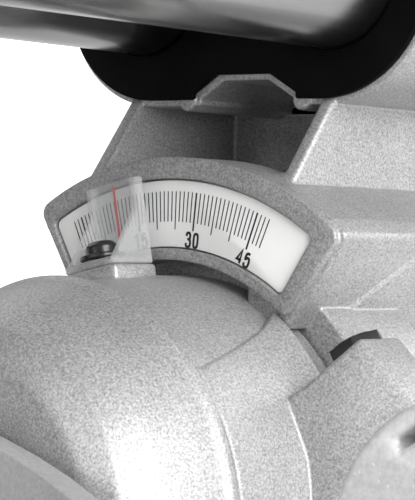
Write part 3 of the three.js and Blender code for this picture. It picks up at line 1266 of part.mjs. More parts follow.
const head = new THREE.Group();
head.position.set(...pivotAt);
const spring = named('return_spring', returnSpring(), 'steel');
spring.position.set(...pivotAt);
arm.add(spring);
head.rotation.x = radians(-HEAD_RAISED_ANGLE);
head.add(
  named('head_casting', headCasting(), 'casting'),
  named('lower_guard', lowerGuard(), 'smoked'),
  named('saw_blade', sawBlade(), 'steel'),
  named('inner_flange', bladeFlange(1), 'steel'),
  named('outer_flange', bladeFlange(-1), 'steel'),
  named('arbor_bolt', arborBolt(), 'blackSteel'),
  named('spindle', spindle(), 'steel'),
  named('drive_gear', driveGear(), 'steel'),
  named('gear_case', gearCase(), 'casting'),
  named('gear_cover', gearCover(), 'shell'),
  named('motor_rotor', motorRotor(), 'steel'),
  named('motor_stator', motorStator(), 'copper'),
  named('motor_housing', motorHousing(), 'shell'),
  named('handle_left', handleHalf(-1), 'darkPlastic'),
  named('handle_right', handleHalf(1), 'darkPlastic'),
  named('trigger', trigger(), 'red'),
  named('lock_off_button', lockOff(), 'red'),
  named('battery_foot', batteryFoot(), 'shell'),
  named('battery_pack', batteryPack(), 'darkPlastic'),
  named('work_lamp', workLamp(), 'clear'),
  named('dust_spout', dustSpout(), 'blackPlastic'),
);
arm.add(head);

saw.add(base, turntable, hubGroup, arm);

export default saw;
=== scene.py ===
import json
import math

import bmesh
import bpy
from mathutils import Matrix, Vector


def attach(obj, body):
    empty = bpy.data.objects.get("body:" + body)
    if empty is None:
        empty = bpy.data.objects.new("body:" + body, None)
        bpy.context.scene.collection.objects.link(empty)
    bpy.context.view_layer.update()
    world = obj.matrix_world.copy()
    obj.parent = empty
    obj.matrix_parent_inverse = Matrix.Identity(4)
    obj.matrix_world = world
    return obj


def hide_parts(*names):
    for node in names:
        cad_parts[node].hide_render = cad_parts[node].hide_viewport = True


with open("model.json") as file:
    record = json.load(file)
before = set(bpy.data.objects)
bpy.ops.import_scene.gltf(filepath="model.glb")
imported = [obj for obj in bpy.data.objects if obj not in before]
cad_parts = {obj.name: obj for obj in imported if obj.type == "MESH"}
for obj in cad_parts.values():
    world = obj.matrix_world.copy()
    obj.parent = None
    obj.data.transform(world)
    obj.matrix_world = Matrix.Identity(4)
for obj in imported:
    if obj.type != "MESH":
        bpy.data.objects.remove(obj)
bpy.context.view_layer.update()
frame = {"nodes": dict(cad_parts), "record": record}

# How the saw stands in the picture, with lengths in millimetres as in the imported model
TABLE_TOP = 62
SCALE_PLANE = 164
BEVEL_SHOWN = math.radians(12)
HEAD_RAISED = math.radians(42)
CHOP_PIN_AT = (0, -151, 152)

MILLIMETRES = Matrix.Scale(0.001, 4)
BENCH = MILLIMETRES
HUB = MILLIMETRES @ Matrix.Translation((0, SCALE_PLANE, TABLE_TOP))
ARM = HUB @ Matrix.Rotation(-BEVEL_SHOWN, 4, "Y")
HEAD = ARM @ Matrix.Translation(CHOP_PIN_AT) @ Matrix.Rotation(-HEAD_RAISED, 4, "X")
AXES = {"X": Vector((1, 0, 0)), "Y": Vector((0, 1, 0)), "Z": Vector((0, 0, 1))}
PACKED = Matrix.Identity(4)

BODY_OF = {node: body for body, nodes in frame["record"]["behaviour"]["bodies"].items() for node in nodes}
SLOT_OF = {part["node"]: part["material_slot"] for part in frame["record"]["subparts"]}


# Camera, where the photograph was taken from

def place_camera():
    right = Vector((0.7227, 0.6645, 0.1898)).normalized()
    back = right.cross(Vector((-0.2430, -0.0127, 0.9700))).normalized()
    turn = Matrix((right, back.cross(right), back)).transposed().to_4x4()
    data = bpy.data.cameras.new("camera")
    data.sensor_width = 36
    data.lens = 153.9
    data.clip_start = 0.02
    data.clip_end = 20
    camera = bpy.data.objects.new("camera", data)
    camera.matrix_world = Matrix.Translation((0.2582, -0.1365, 0.1730)) @ turn
    bpy.context.scene.collection.objects.link(camera)
    bpy.context.scene.camera = camera


place_camera()


# Node helpers

def add_node(tree, kind, inputs=None, **settings):
    node = tree.nodes.new(kind)
    for name, value in settings.items():
        setattr(node, name, value)
    for name, value in (inputs or {}).items():
        node.inputs[name].default_value = value
    return node


def put_in(tree, socket, value):
    """A plain value, or another node's output, put into a socket."""
    if isinstance(value, (int, float, tuple)):
        socket.default_value = value
    else:
        tree.links.new(value, socket)


def math_node(tree, operation, first, second):
    node = add_node(tree, "ShaderNodeMath", operation=operation)
    put_in(tree, node.inputs[0], first)
    put_in(tree, node.inputs[1], second)
    return node.outputs[0]


def times(tree, first, second):
    return math_node(tree, "MULTIPLY", first, second)


def plus(tree, first, second):
    return math_node(tree, "ADD", first, second)


def ramp(tree, factor, stops):
    node = add_node(tree, "ShaderNodeValToRGB")
    while len(node.color_ramp.elements) < len(stops):
        node.color_ramp.elements.new(0.5)
    for element, (place, color) in zip(node.color_ramp.elements, stops):
        element.position = place
        element.color = color if len(color) == 4 else (*color, 1)
    tree.links.new(factor, node.inputs["Fac"])
    return node.outputs["Color"]


def grey(value):
    return (value, value, value, 1)


def new_group(name, inputs, outputs):
    """A node group with its named sockets, and its input and output nodes."""
    group = bpy.data.node_groups.new(name, "ShaderNodeTree")
    for label, kind, value in inputs:
        socket = group.interface.new_socket(label, in_out="INPUT", socket_type=kind)
        if value is not None:
            socket.default_value = value
    for label, kind in outputs:
        group.interface.new_socket(label, in_out="OUTPUT", socket_type=kind)
    return group, add_node(group, "NodeGroupInput"), add_node(group, "NodeGroupOutput")


def feed(tree, node, **values):
    """Sockets linked to a node's inputs by their names."""
    for name, socket in values.items():
        tree.links.new(socket, node.inputs[name])


def noise(tree, vector, scale, detail=3, roughness=0.55):
    node = add_node(tree, "ShaderNodeTexNoise", {"Detail": detail, "Roughness": roughness})
    tree.links.new(vector, node.inputs["Vector"])
    put_in(tree, node.inputs["Scale"], scale)
    return node.outputs["Fac"]


def mix_colors(tree, factor, first, second, blend="MIX"):
    node = add_node(tree, "ShaderNodeMix", data_type="RGBA", blend_type=blend)
    for index, value in ((0, factor), (6, first), (7, second)):
        put_in(tree, node.inputs[index], value)
    return node.outputs[2]


# Shared effects

SURFACE_OUTPUTS = [
    ("Color", "NodeSocketColor"), ("Roughness", "NodeSocketFloat"), ("Height", "NodeSocketFloat"),
]


def metal_grain_group():
    """Sprayed or blasted casting: bright and dark flecks over broad, faint clouds."""
    group, start, end = new_group("metal_grain", [
        ("Vector", "NodeSocketVector", None), ("Dark", "NodeSocketColor", grey(0.3)),
        ("Light", "NodeSocketColor", grey(0.6)), ("Fleck Size", "NodeSocketFloat", 2600.0),
        ("Base Roughness", "NodeSocketFloat", 0.4),
    ], SURFACE_OUTPUTS)
    place = start.outputs["Vector"]
    fleck = noise(group, place, start.outputs["Fleck Size"], 2, 0.7)
    cloud = noise(group, place, 45, 3)
    cells = add_node(group, "ShaderNodeTexVoronoi", feature="F1")
    group.links.new(place, cells.inputs["Vector"])
    group.links.new(start.outputs["Fleck Size"], cells.inputs["Scale"])
    spark = ramp(group, cells.outputs["Distance"], [(0.0, grey(1)), (0.22, grey(0))])
    level = plus(group, times(group, fleck, 1.1), times(group, cloud, 0.25))
    shade = ramp(group, level, [(0.42, grey(0)), (0.95, grey(1))])
    color = mix_colors(group, shade, start.outputs["Dark"], start.outputs["Light"])
    color = mix_colors(group, times(group, spark, 0.35), color, grey(0.9))
    rough = plus(group, start.outputs["Base Roughness"], times(group, fleck, 0.16))
    height = plus(group, fleck, times(group, spark, 0.4))
    feed(group, end, Color=color, Roughness=rough, Height=height)
    return group


def soft_edge_group():
    """Rounds sharp edges in the shading, and masks the edges: castings paint a highlight along them with it,
    moulded parts shift them towards a second colour.
    """
    group, start, end = new_group("soft_edges", [("Radius", "NodeSocketFloat", 0.0006)], [
        ("Normal", "NodeSocketVector"), ("Edge", "NodeSocketFloat")])
    bevel = add_node(group, "ShaderNodeBevel", samples=6)
    group.links.new(start.outputs["Radius"], bevel.inputs["Radius"])
    geometry = add_node(group, "ShaderNodeNewGeometry")
    dot = add_node(group, "ShaderNodeVectorMath", operation="DOT_PRODUCT")
    group.links.new(bevel.outputs["Normal"], dot.inputs[0])
    group.links.new(geometry.outputs["Normal"], dot.inputs[1])
    edge = ramp(group, dot.outputs["Value"], [(0.55, grey(1)), (0.97, grey(0))])
    feed(group, end, Normal=bevel.outputs["Normal"], Edge=edge)
    return group


def streak_group():
    """Fine lines along one axis, as turning, grinding or drawing leaves on metal."""
    group, start, end = new_group("tool_streaks", [
        ("Vector", "NodeSocketVector", None), ("Stretch", "NodeSocketVector", (1.0, 1.0, 1.0)),
        ("Base Roughness", "NodeSocketFloat", 0.2),
    ], SURFACE_OUTPUTS)
    stretch = add_node(group, "ShaderNodeVectorMath", operation="MULTIPLY")
    group.links.new(start.outputs["Vector"], stretch.inputs[0])
    group.links.new(start.outputs["Stretch"], stretch.inputs[1])
    fine = noise(group, stretch.outputs["Vector"], 1, 4, 0.65)
    smear = noise(group, start.outputs["Vector"], 30, 3)
    color = ramp(group, fine, [(0.25, grey(0.86)), (0.75, grey(1.0))])
    rough = plus(group, start.outputs["Base Roughness"], times(group, plus(group, fine, smear), 0.09))
    feed(group, end, Color=color, Roughness=rough, Height=fine)
    return group


def moulded_group():
    """Moulded plastic or rubber: a fine eroded texture, faint dust, and edges shifted towards a second colour.
    """
    group, start, end = new_group("moulded_skin", [
        ("Vector", "NodeSocketVector", None), ("Body", "NodeSocketColor", grey(0.02)),
        ("Rubbed", "NodeSocketColor", grey(0.06)), ("Edge", "NodeSocketFloat", 0.0),
        ("Texture Size", "NodeSocketFloat", 2200.0), ("Base Roughness", "NodeSocketFloat", 0.45),
    ], SURFACE_OUTPUTS)
    place = start.outputs["Vector"]
    pits = noise(group, place, start.outputs["Texture Size"], 2, 0.6)
    dust = noise(group, place, 70, 5, 0.7)
    haze = ramp(group, dust, [(0.5, grey(0)), (0.8, grey(0.18))])
    # the edge mask shifts the colour along the edges towards the second colour
    edge_tint = times(group, start.outputs["Edge"], plus(group, dust, 0.1))
    color = mix_colors(
        group, plus(group, haze, edge_tint), start.outputs["Body"], start.outputs["Rubbed"])
    uneven = times(group, math_node(group, "SUBTRACT", dust, 0.5), 0.22)
    rough = plus(group, start.outputs["Base Roughness"], uneven)
    feed(group, end, Color=color, Roughness=rough, Height=pits)
    return group


def scuffed_group():
    """Fine scuffs on clear plastic, which pale it and make it rougher."""
    group, start, end = new_group("scuffs", [
        ("Vector", "NodeSocketVector", None), ("Body", "NodeSocketColor", grey(0.4)),
        ("Rubbed", "NodeSocketColor", grey(0.5)), ("Base Roughness", "NodeSocketFloat", 0.12),
    ], SURFACE_OUTPUTS)
    marks = noise(group, start.outputs["Vector"], 320, 4, 0.7)
    color = mix_colors(group, marks, start.outputs["Body"], start.outputs["Rubbed"])
    rough = plus(group, start.outputs["Base Roughness"], times(group, marks, 0.2))
    feed(group, end, Color=color, Roughness=rough, Height=marks)
    return group


METAL_GRAIN = metal_grain_group()
SOFT_EDGES = soft_edge_group()
STREAKS = streak_group()
MOULDED = moulded_group()
SCUFFS = scuffed_group()


# Finishes

def blank_finish(name):
    made = bpy.data.materials.new(name)
    made.use_nodes = True
    tree = made.node_tree
    place = add_node(tree, "ShaderNodeTexCoord").outputs["Object"]
    return made, tree, tree.nodes["Principled BSDF"], place


def placed_group(tree, group, vector=None, **values):
    node = add_node(tree, "ShaderNodeGroup", node_tree=group)
    for name, value in values.items():
        put_in(tree, node.inputs[name.replace("_", " ").title()], value)
    if vector is not None:
        tree.links.new(vector, node.inputs["Vector"])
    return node


def bump(tree, height, distance, normal=None, strength=1.0):
    node = add_node(tree, "ShaderNodeBump", {"Distance": distance, "Strength": strength})
    tree.links.new(height, node.inputs["Height"])
    if normal is not None:
        tree.links.new(normal, node.inputs["Normal"])
    return node.outputs["Normal"]


def surface(tree, shader, color, group, depth, normal=None):
    """The shader fed with a colour, a group's roughness and its height as bumps."""
    tree.links.new(color, shader.inputs["Base Color"])
    tree.links.new(group.outputs["Roughness"], shader.inputs["Roughness"])
    tree.links.new(bump(tree, group.outputs["Height"], depth, normal), shader.inputs["Normal"])


def casting_finish(name, dark, light, flecks, roughness, metallic, depth):
    made, tree, shader, place = blank_finish(name)
    edges = placed_group(tree, SOFT_EDGES, radius=0.0007)
    grain = placed_group(
        tree, METAL_GRAIN, place, dark=grey(dark), light=grey(light), fleck_size=flecks,
        base_roughness=roughness)
    # painted highlight: the edges are mixed towards pale grey, as if light caught them
    edge_highlight = mix_colors(
        tree, times(tree, edges.outputs["Edge"], 0.35), grain.outputs["Color"], grey(0.85))
    surface(tree, shader, edge_highlight, grain, depth, edges.outputs["Normal"])
    shader.inputs["Metallic"].default_value = metallic
    return made


def streaked_finish(name, color, stretch, roughness, depth):
    made, tree, shader, place = blank_finish(name)
    edges = placed_group(tree, SOFT_EDGES, radius=0.0003)
    streaks = placed_group(tree, STREAKS, place, stretch=stretch, base_roughness=roughness)
    tinted = mix_colors(tree, 1.0, streaks.outputs["Color"], color, "MULTIPLY")
    surface(tree, shader, tinted, streaks, depth, edges.outputs["Normal"])
    shader.inputs["Metallic"].default_value = 1
    return made


def moulded_finish(name, body, rubbed, texture, roughness, depth, edge_radius=0.0006, specular=0.5):
    made, tree, shader, place = blank_finish(name)
    shader.inputs["Specular IOR Level"].default_value = specular
    edges = placed_group(tree, SOFT_EDGES, radius=edge_radius)
    skin = placed_group(
        tree, MOULDED, place, body=(*body, 1), rubbed=(*rubbed, 1), edge=edges.outputs["Edge"],
        texture_size=texture, base_roughness=roughness)
    surface(tree, shader, skin.outputs["Color"], skin, depth, edges.outputs["Normal"])
    return made


def clear_finish(name, tint, tone, haze, edge_haze):
    """See-through plastic: light passes straight on, with a scuffed sheen that grows towards its edges."""
    made, tree, shader, place = blank_finish(name)
    scuffs = placed_group(
        tree, SCUFFS, place, body=grey(tone), rubbed=grey(1.25 * tone), base_roughness=0.12)
    surface(tree, shader, scuffs.outputs["Color"], scuffs, 0.00002)
    passing = add_node(tree, "ShaderNodeBsdfTransparent", {"Color": tint})
    rim = add_node(tree, "ShaderNodeLayerWeight", {"Blend": 0.35}).outputs["Facing"]
    level = plus(tree, times(tree, rim, edge_haze), haze)
    path = add_node(tree, "ShaderNodeLightPath").outputs["Is Shadow Ray"]
    lit = math_node(tree, "SUBTRACT", 1, times(tree, path, 0.6))
    mixed = add_node(tree, "ShaderNodeMixShader")
    tree.links.new(times(tree, level, lit), mixed.inputs["Fac"])
    tree.links.new(passing.outputs["BSDF"], mixed.inputs[1])
    tree.links.new(shader.outputs["BSDF"], mixed.inputs[2])
    tree.links.new(mixed.outputs["Shader"], tree.nodes["Material Output"].inputs["Surface"])
    return made


# Dark and light tone, fleck size, roughness, metallic share and depth of the grain
CAST_LOOKS = {
    "cast_silver": (0.19, 0.56, 2300.0, 0.38, 0.5, 0.00005),
    "smooth_cast": (0.36, 0.5, 1300.0, 0.42, 0.35, 0.00001),
}
# Tone, stretch of the streaks, roughness and depth
STREAKED_LOOKS = {
    "machined_table": (grey(0.62), (60.0, 2600.0, 60.0), 0.24, 0.00001),
    "zinc_steel": (grey(0.5), (500.0, 500.0, 500.0), 0.26, 0.000008),
    "rail_chrome": (grey(0.36), (700.0, 9.0, 700.0), 0.13, 0.000003),
    "winding_copper": ((0.62, 0.26, 0.12, 1), (3000.0, 60.0, 60.0), 0.3, 0.00003),
    "blade_steel": (grey(0.52), (700.0, 700.0, 700.0), 0.2, 0.000006),
}
# Body colour and the second colour that dust and edges shift to, texture size, roughness, depth, then edge
# radius and specular level
MOULDED_LOOKS = {
    "scale_plate": ((0.84, 0.84, 0.83), (0.72, 0.72, 0.72), 900.0, 0.5, 0.000003, 0.0002, 0.2),
    "black_steel": ((0.012, 0.012, 0.013), (0.09, 0.09, 0.09), 1500.0, 0.22, 0.00001, 0.0003),
    "black_plastic": ((0.014, 0.014, 0.015), (0.07, 0.07, 0.07), 2000.0, 0.42, 0.00002),
    "end_plate_black": ((0.002, 0.002, 0.002), (0.015, 0.015, 0.015), 1600.0, 0.5, 0.000008, 0.0004, 0.05),
    "grip_plastic": ((0.018, 0.018, 0.019), (0.05, 0.05, 0.05), 1500.0, 0.6, 0.00004),
    "shell_plastic": ((0.05, 0.053, 0.058), (0.14, 0.14, 0.145), 1700.0, 0.42, 0.00002),
    "red_plastic": ((0.45, 0.035, 0.02), (0.6, 0.16, 0.12), 1700.0, 0.36, 0.00001),
    "foot_rubber": ((0.012, 0.012, 0.012), (0.05, 0.05, 0.048), 1200.0, 0.75, 0.00004),
    "black_ink": ((0.008, 0.008, 0.008), (0.03, 0.03, 0.03), 900.0, 0.4, 0.000002, 0.00005),
    "red_ink": ((0.72, 0.02, 0.015), (0.75, 0.1, 0.08), 900.0, 0.35, 0.000002, 0.00005),
}
# Tint of what passes, tone of the haze, its share face on and what the edges add
CLEAR_LOOKS = {
    "clear_plastic": ((0.96, 0.965, 0.97, 1), 0.46, 0.17, 0.55),
    "smoked_guard": ((0.55, 0.56, 0.58, 1), 0.3, 0.16, 0.45),
}
FINISHES = {
    name: make(name, *values)
    for make, looks in (
        (casting_finish, CAST_LOOKS), (streaked_finish, STREAKED_LOOKS), (moulded_finish, MOULDED_LOOKS),
        (clear_finish, CLEAR_LOOKS))
    for name, values in looks.items()
}


# Outlines are lists of (across, up) in millimetres; a third value rounds that corner

def arc(x, y, radius, start, stop, steps):
    angles = [math.radians(start + (stop - start) * i / steps) for i in range(steps + 1)]
    return [(x + radius * math.cos(a), y + radius * math.sin(a)) for a in angles]


def circle(x, y, radius, steps=64):
    return arc(x, y, radius, 0, 360 - 360 / steps, steps - 1)


def stadium(x, y, half_width, radius, steps=96):
    return [
        *arc(x + half_width - radius, y, radius, -90, 90, steps // 2),
        *arc(x - half_width + radius, y, radius, 90, 270, steps // 2),
    ]


def polar(radius, angle):
    """A point at an angle in degrees clockwise from straight up."""
    return radius * math.sin(math.radians(angle)), radius * math.cos(math.radians(angle))


def eased(points, closed=True, steps=6):
    """The outline with its marked corners rounded."""
    made = []
    for i, point in enumerate(points):
        if len(point) < 3 or (not closed and i in (0, len(points) - 1)):
            made.append(tuple(point[:2]))
            continue
        corner = Vector(point[:2])
        before = Vector(points[i - 1][:2]) - corner
        after = Vector(points[(i + 1) % len(points)][:2]) - corner
        half = before.angle(after) / 2
        reach = min(point[2] / math.tan(half), 0.49 * min(before.length, after.length))
        before.normalize()
        after.normalize()
        centre = corner + (before + after).normalized() * (reach / math.cos(half))
        first = corner + before * reach - centre
        sweep = first.angle_signed(corner + after * reach - centre)
        made += [tuple(centre + Matrix.Rotation(-sweep * k / steps, 2) @ first) for k in range(steps + 1)]
    return made


def box(left, right, low, high, corner=0):
    points = [(left, low, corner), (right, low, corner), (right, high, corner), (left, high, corner)]
    return eased(points) if corner else [point[:2] for point in points]


def bent_box(inner, outer, half_angle, corner):
    """A rounded box bent round the bevel axis."""
    middle = (inner + outer) / 2
    reach = middle * math.radians(half_angle)
    flat = box(-reach, reach, inner, outer, corner)
    made = []
    for i, (along, radius) in enumerate(flat):
        next_along, next_radius = flat[(i + 1) % len(flat)]
        steps = max(1, round(abs(next_along - along) / 1.2))
        for k in range(steps):
            share = k / steps
            angle = math.degrees((along + (next_along - along) * share) / middle)
            made.append(polar(radius + (next_radius - radius) * share, angle))
    return made


# Solids, as meshes in their own frame and in millimetres

def on_axis(axis, along, u, v):
    return {"X": (along, u, v), "Y": (u, along, v), "Z": (u, v, along)}[axis]


def tidied(shape):
    bmesh.ops.remove_doubles(shape, verts=shape.verts, dist=0.0005)
    bmesh.ops.recalc_face_normals(shape, faces=shape.faces)
    return shape


def prism(outline, axis, low, high, holes=()):
    shape = bmesh.new()
    for loop in (outline, *holes):
        verts = [shape.verts.new(on_axis(axis, low, u, v)) for u, v in loop]
        for first, second in zip(verts, verts[1:] + verts[:1]):
            shape.edges.new((first, second))
    if holes:
        bmesh.ops.triangle_fill(shape, use_beauty=True, edges=shape.edges[:])
    else:
        shape.faces.new(shape.verts[:])
    grown = bmesh.ops.extrude_face_region(shape, geom=shape.faces[:], use_keep_orig=True)
    moved = [part for part in grown["geom"] if isinstance(part, bmesh.types.BMVert)]
    bmesh.ops.translate(shape, verts=moved, vec=AXES[axis] * (high - low))
    return tidied(shape)


def turned(profile, axis, at=(0, 0, 0), steps=96):
    """A profile of (radius, along) spun about an axis through a point."""
    shape = bmesh.new()
    centre = Vector(at)
    spots = {"X": lambda r, a: (a, 0, r), "Y": lambda r, a: (r, a, 0), "Z": lambda r, a: (r, 0, a)}[axis]
    verts = [shape.verts.new(centre + Vector(spots(radius, along))) for radius, along in profile]
    edges = [shape.edges.new(pair) for pair in zip(verts, verts[1:])]
    bmesh.ops.spin(
        shape, geom=verts + edges, cent=centre, axis=AXES[axis], angle=math.tau, steps=steps, use_merge=True)
    return tidied(shape)


def rod(axis, radius, low, high, at=(0, 0, 0), steps=64, corner=0.0):
    return turned(eased([(0, low), (radius, low, corner), (radius, high, corner), (0, high)], False)
                  if corner else [(0, low), (radius, low), (radius, high), (0, high)], axis, at, steps)


def tube(axis, inner, outer, low, high, at=(0, 0, 0), steps=96, corner=0.0):
    ring = [(inner, low, corner), (outer, low, corner), (outer, high, corner), (inner, high, corner)]
    points = eased(ring) if corner else [point[:2] for point in ring]
    return turned([*points, points[0]], axis, at, steps)


def block(left, right, front, back, low, high):
    return prism(box(left, right, front, back), "Z", low, high)


def softened(shape, width, where=None, angle=28, segments=3):
    """The shape with its edges rounded, or only those whose middle passes the test."""
    chosen = []
    for edge in shape.edges:
        if len(edge.link_faces) != 2 or edge.calc_face_angle(0) < math.radians(angle):
            continue
        if where is None or where((edge.verts[0].co + edge.verts[1].co) / 2):
            chosen.append(edge)
    bmesh.ops.bevel(
        shape, geom=chosen, offset=width, offset_type="OFFSET", affect="EDGES", segments=segments,
        profile=0.5, material=-1, clamp_overlap=True)
    return shape


def trimmed(shape, width):
    return softened(shape, width, segments=2)


def mesh_of(shape, name="scratch"):
    """The shape as a new mesh; the shape itself is freed."""
    mesh = bpy.data.meshes.new(name)
    shape.to_mesh(mesh)
    shape.free()
    return mesh


def scratch_object(shape):
    made = bpy.data.objects.new("scratch", mesh_of(shape))
    bpy.context.scene.collection.objects.link(made)
    return made


def combined(shape, *tools, operation="DIFFERENCE"):
    """The shape with the tools cut from it, or joined to it."""
    body = scratch_object(shape)
    cutters = [scratch_object(tool) for tool in tools]
    for cutter in cutters:
        body.modifiers.new("cut", "BOOLEAN")
        body.modifiers[-1].object = cutter
        body.modifiers[-1].operation = operation
        body.modifiers[-1].solver = "EXACT"
    bpy.context.view_layer.update()
    mesh = bpy.data.meshes.new_from_object(body.evaluated_get(bpy.context.evaluated_depsgraph_get()))
    result = bmesh.new()
    result.from_mesh(mesh)
    for used in (body, *cutters):
        data = used.data
        bpy.data.objects.remove(used)
        bpy.data.meshes.remove(data)
    bpy.data.meshes.remove(mesh)
    return result


def together(*shapes):
    """Several closed shells as one piece."""
    result = bmesh.new()
    for shape in shapes:
        mesh = mesh_of(shape)
        result.from_mesh(mesh)
        bpy.data.meshes.remove(mesh)
    return result


def swung(shape, axis, degrees, at=(0, 0, 0)):
    bmesh.ops.rotate(
        shape, verts=shape.verts, cent=Vector(at), matrix=Matrix.Rotation(math.radians(degrees), 3, axis))
    return shape


def shifted(shape, x, y, z):
    bmesh.ops.translate(shape, verts=shape.verts, vec=(x, y, z))
    return shape


def mirrored(shape):
    bmesh.ops.scale(shape, verts=shape.verts, vec=(-1, 1, 1))
    bmesh.ops.reverse_faces(shape, faces=shape.faces)
    return shape


def make_piece(name, shape, place, body, finish, smooth=32):
    mesh = mesh_of(shape, name)
    mesh.transform(place)
    mesh.shade_smooth()
    mesh.set_sharp_from_angle(angle=math.radians(smooth))
    mesh.materials.append(FINISHES[finish])
    piece = bpy.data.objects.new(name, mesh)
    bpy.context.scene.collection.objects.link(piece)
    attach(piece, body)
    return piece


def dress(node, shape, place, smooth=32):
    """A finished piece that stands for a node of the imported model, in its place."""
    piece = make_piece(node + "_form", shape, place, BODY_OF[node], SLOT_OF[node], smooth)
    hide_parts(node)
    return piece


# Bevel scale: frame, arm and rail carrier

FRAME = {
    "inner": 46.9, "outer": 66.5, "half_angle": 35.3, "turn": 2.1, "front": -0.8, "back": 11, "corner": 2.2,
}
PLATE = {"inner": 49.3, "outer": 62.2, "half_angle": 32.2, "turn": 0.8, "corner": 1.3, "bed": 0.9}
CARRIER = {"front": 16.3, "back": 118, "half_width": 46.5, "radius": 24.3, "height": 102.8, "rim": 1.1}
RAIL = {"radius": 15, "wall": 2.5, "offset": 24, "front": -159, "back": 206}
GROOVE = [(-10.5, 78.5), (-4.5, 83.4), (9.3, 83.4), (16, 78.5)]

# Turn of the pointer on the hub, and of the scale's zero on the arm, in degrees about the bevel axis
POINTER_TURN = -25


def turned_outline(outline, degrees):
    turn = Matrix.Rotation(math.radians(-degrees), 2)
    return [tuple(turn @ Vector(point)) for point in outline]


def plate_outline(grow):
    outline = bent_box(
        PLATE["inner"] - grow, PLATE["outer"] + grow, PLATE["half_angle"] + grow, PLATE["corner"])
    return turned_outline(outline, PLATE["turn"])


def scale_frame():
    outer = turned_outline(
        bent_box(FRAME["inner"], FRAME["outer"], FRAME["half_angle"], FRAME["corner"]), FRAME["turn"])
    ring = prism(outer, "Y", FRAME["front"], FRAME["back"], [plate_outline(0.2)])
    softened(ring, 1.1, lambda spot: spot.y < FRAME["front"] + 0.1, segments=4)
    return together(ring, prism(plate_outline(0.8), "Y", PLATE["bed"], FRAME["back"] - 0.2))


def carrier_outline(grow, groove_inset=None):
    """The rail carrier's outline, with its groove where an inset is given."""
    width, radius = CARRIER["half_width"] + grow, CARRIER["radius"] + grow
    outline = stadium(0, CARRIER["height"], width, radius)
    if groove_inset is None:
        return outline
    low = CARRIER["height"] - radius
    (left, _), (top_left, top), (top_right, _), (right, _) = GROOVE
    inset = groove_inset
    notch = [
        (left + inset, low, 1), (left + inset, low + 1.2), (top_left + inset, top - inset, 0.8),
        (top_right - inset, top - inset, 0.8), (right - inset, low + 1.2), (right - inset, low, 1),
    ]
    return [*outline, *eased([outline[-1], *notch, outline[0]], False, 4)[1:-1]]


def rail_holes(radius):
    return [circle(side * RAIL["offset"], CARRIER["height"], radius, 64) for side in (-1, 1)]


def left_lug():
    """The face that meets the left stop bolt, set back behind the frame's end."""
    points = [(-41.2, 52.5), (-27.8, 38.2), polar(47.5, -30), polar(65.9, -30)]
    return softened(prism(points, "Y", 5, FRAME["back"]), 0.8)


def right_flank():
    """The arm's side behind the frame's right end, whose end plane meets the right stop bolt."""
    upper = prism(eased([
        (18, 62), (25, 62), (37.6, 55.8, 2.6), (41, 52.9, 1.2), (27.7, 35.2, 0.8), (18, 37.5)]), "Y", 0.5, 62)
    lower = prism([(18, 26), (22, 26.6), (41.4, 52.6), (39.6, 56), (18, 57)], "Y", 6.6, 62)
    across = Vector((-0.391, 0.759, -0.521))
    bmesh.ops.bisect_plane(
        lower, geom=[*lower.verts, *lower.edges, *lower.faces], plane_co=(30.5, 11.3, 35.5), plane_no=across,
        clear_inner=True)
    bmesh.ops.holes_fill(lower, edges=lower.edges)
    return together(softened(upper, 0.7), softened(tidied(lower), 1.6, segments=4))


def arm_casting():
    shoulder = softened(prism(eased([
        (24, 24, 2), (24, 62, 1), (-28.2, 62, 1), (-30.2, 55.5, 1.5), (-34.2, 52.5, 1.2), (-34, 41, 3),
        (-34, 24, 2),
    ]), "Y", 8, 62), 1.2, segments=3)
    post = prism(
        [(4, 57), (8, 41), (62, 41), (112, 73.2), (112, 79.6), (16.6, 79.6), (4, 62)], "X", -28.2, 25)
    recess = prism([(-20, 64), (45, 64), (45, 90), (-20, 90)], "X", -25, 21.8)
    post = softened(combined(post, recess), 0.8)
    grown = CARRIER["rim"]
    front = prism(carrier_outline(grown, grown), "Y", CARRIER["front"], 46, rail_holes(RAIL["radius"] + 2.95))
    softened(front, 0.4, lambda spot: spot.y < CARRIER["front"] + 0.1)
    rear = prism(carrier_outline(grown), "Y", 45, CARRIER["back"], rail_holes(RAIL["radius"] + 2.95))
    softened(rear, 0.6, lambda spot: spot.y > CARRIER["back"] - 0.1)
    ears = [rod("Y", 2.1, CARRIER["front"] - 0.5, 44, (x, 0, 78.4), 32, 0.5) for x in (-12.6, 16.8)]
    flange = tube("Y", 10.4, 50, 6.6, 30, steps=128, corner=0.6)
    return together(scale_frame(), shoulder, post, front, rear, *ears, flange, right_flank(), left_lug())


def seal_plate(front, back):
    plate = prism(carrier_outline(0, 0), "Y", front, back, rail_holes(RAIL["radius"] + 0.35))
    return softened(plate, 0.5)


dress("tilt_arm", arm_casting(), ARM)
dress("scale_plate", trimmed(prism(plate_outline(-0.1), "Y", -0.1, 0.8), 0.15), ARM)
dress("front_seal_plate", seal_plate(15, 16.2), ARM)
dress("rear_seal_plate", seal_plate(118.3, 124.4), ARM)
for side, node in ((-1, "rail_left"), (1, "rail_right")):
    dress(node, tube(
        "Y", RAIL["radius"] - RAIL["wall"], RAIL["radius"], RAIL["front"], RAIL["back"],
        (side * RAIL["offset"], 0, CARRIER["height"]), 128, 0.5), ARM)


# Printed marks and numbers

def printed_mark(shape, place, length, width, thickness=0.03):
    bmesh.ops.create_cube(
        shape, size=1, matrix=place @ Matrix.Diagonal((width, thickness, length, 1)))


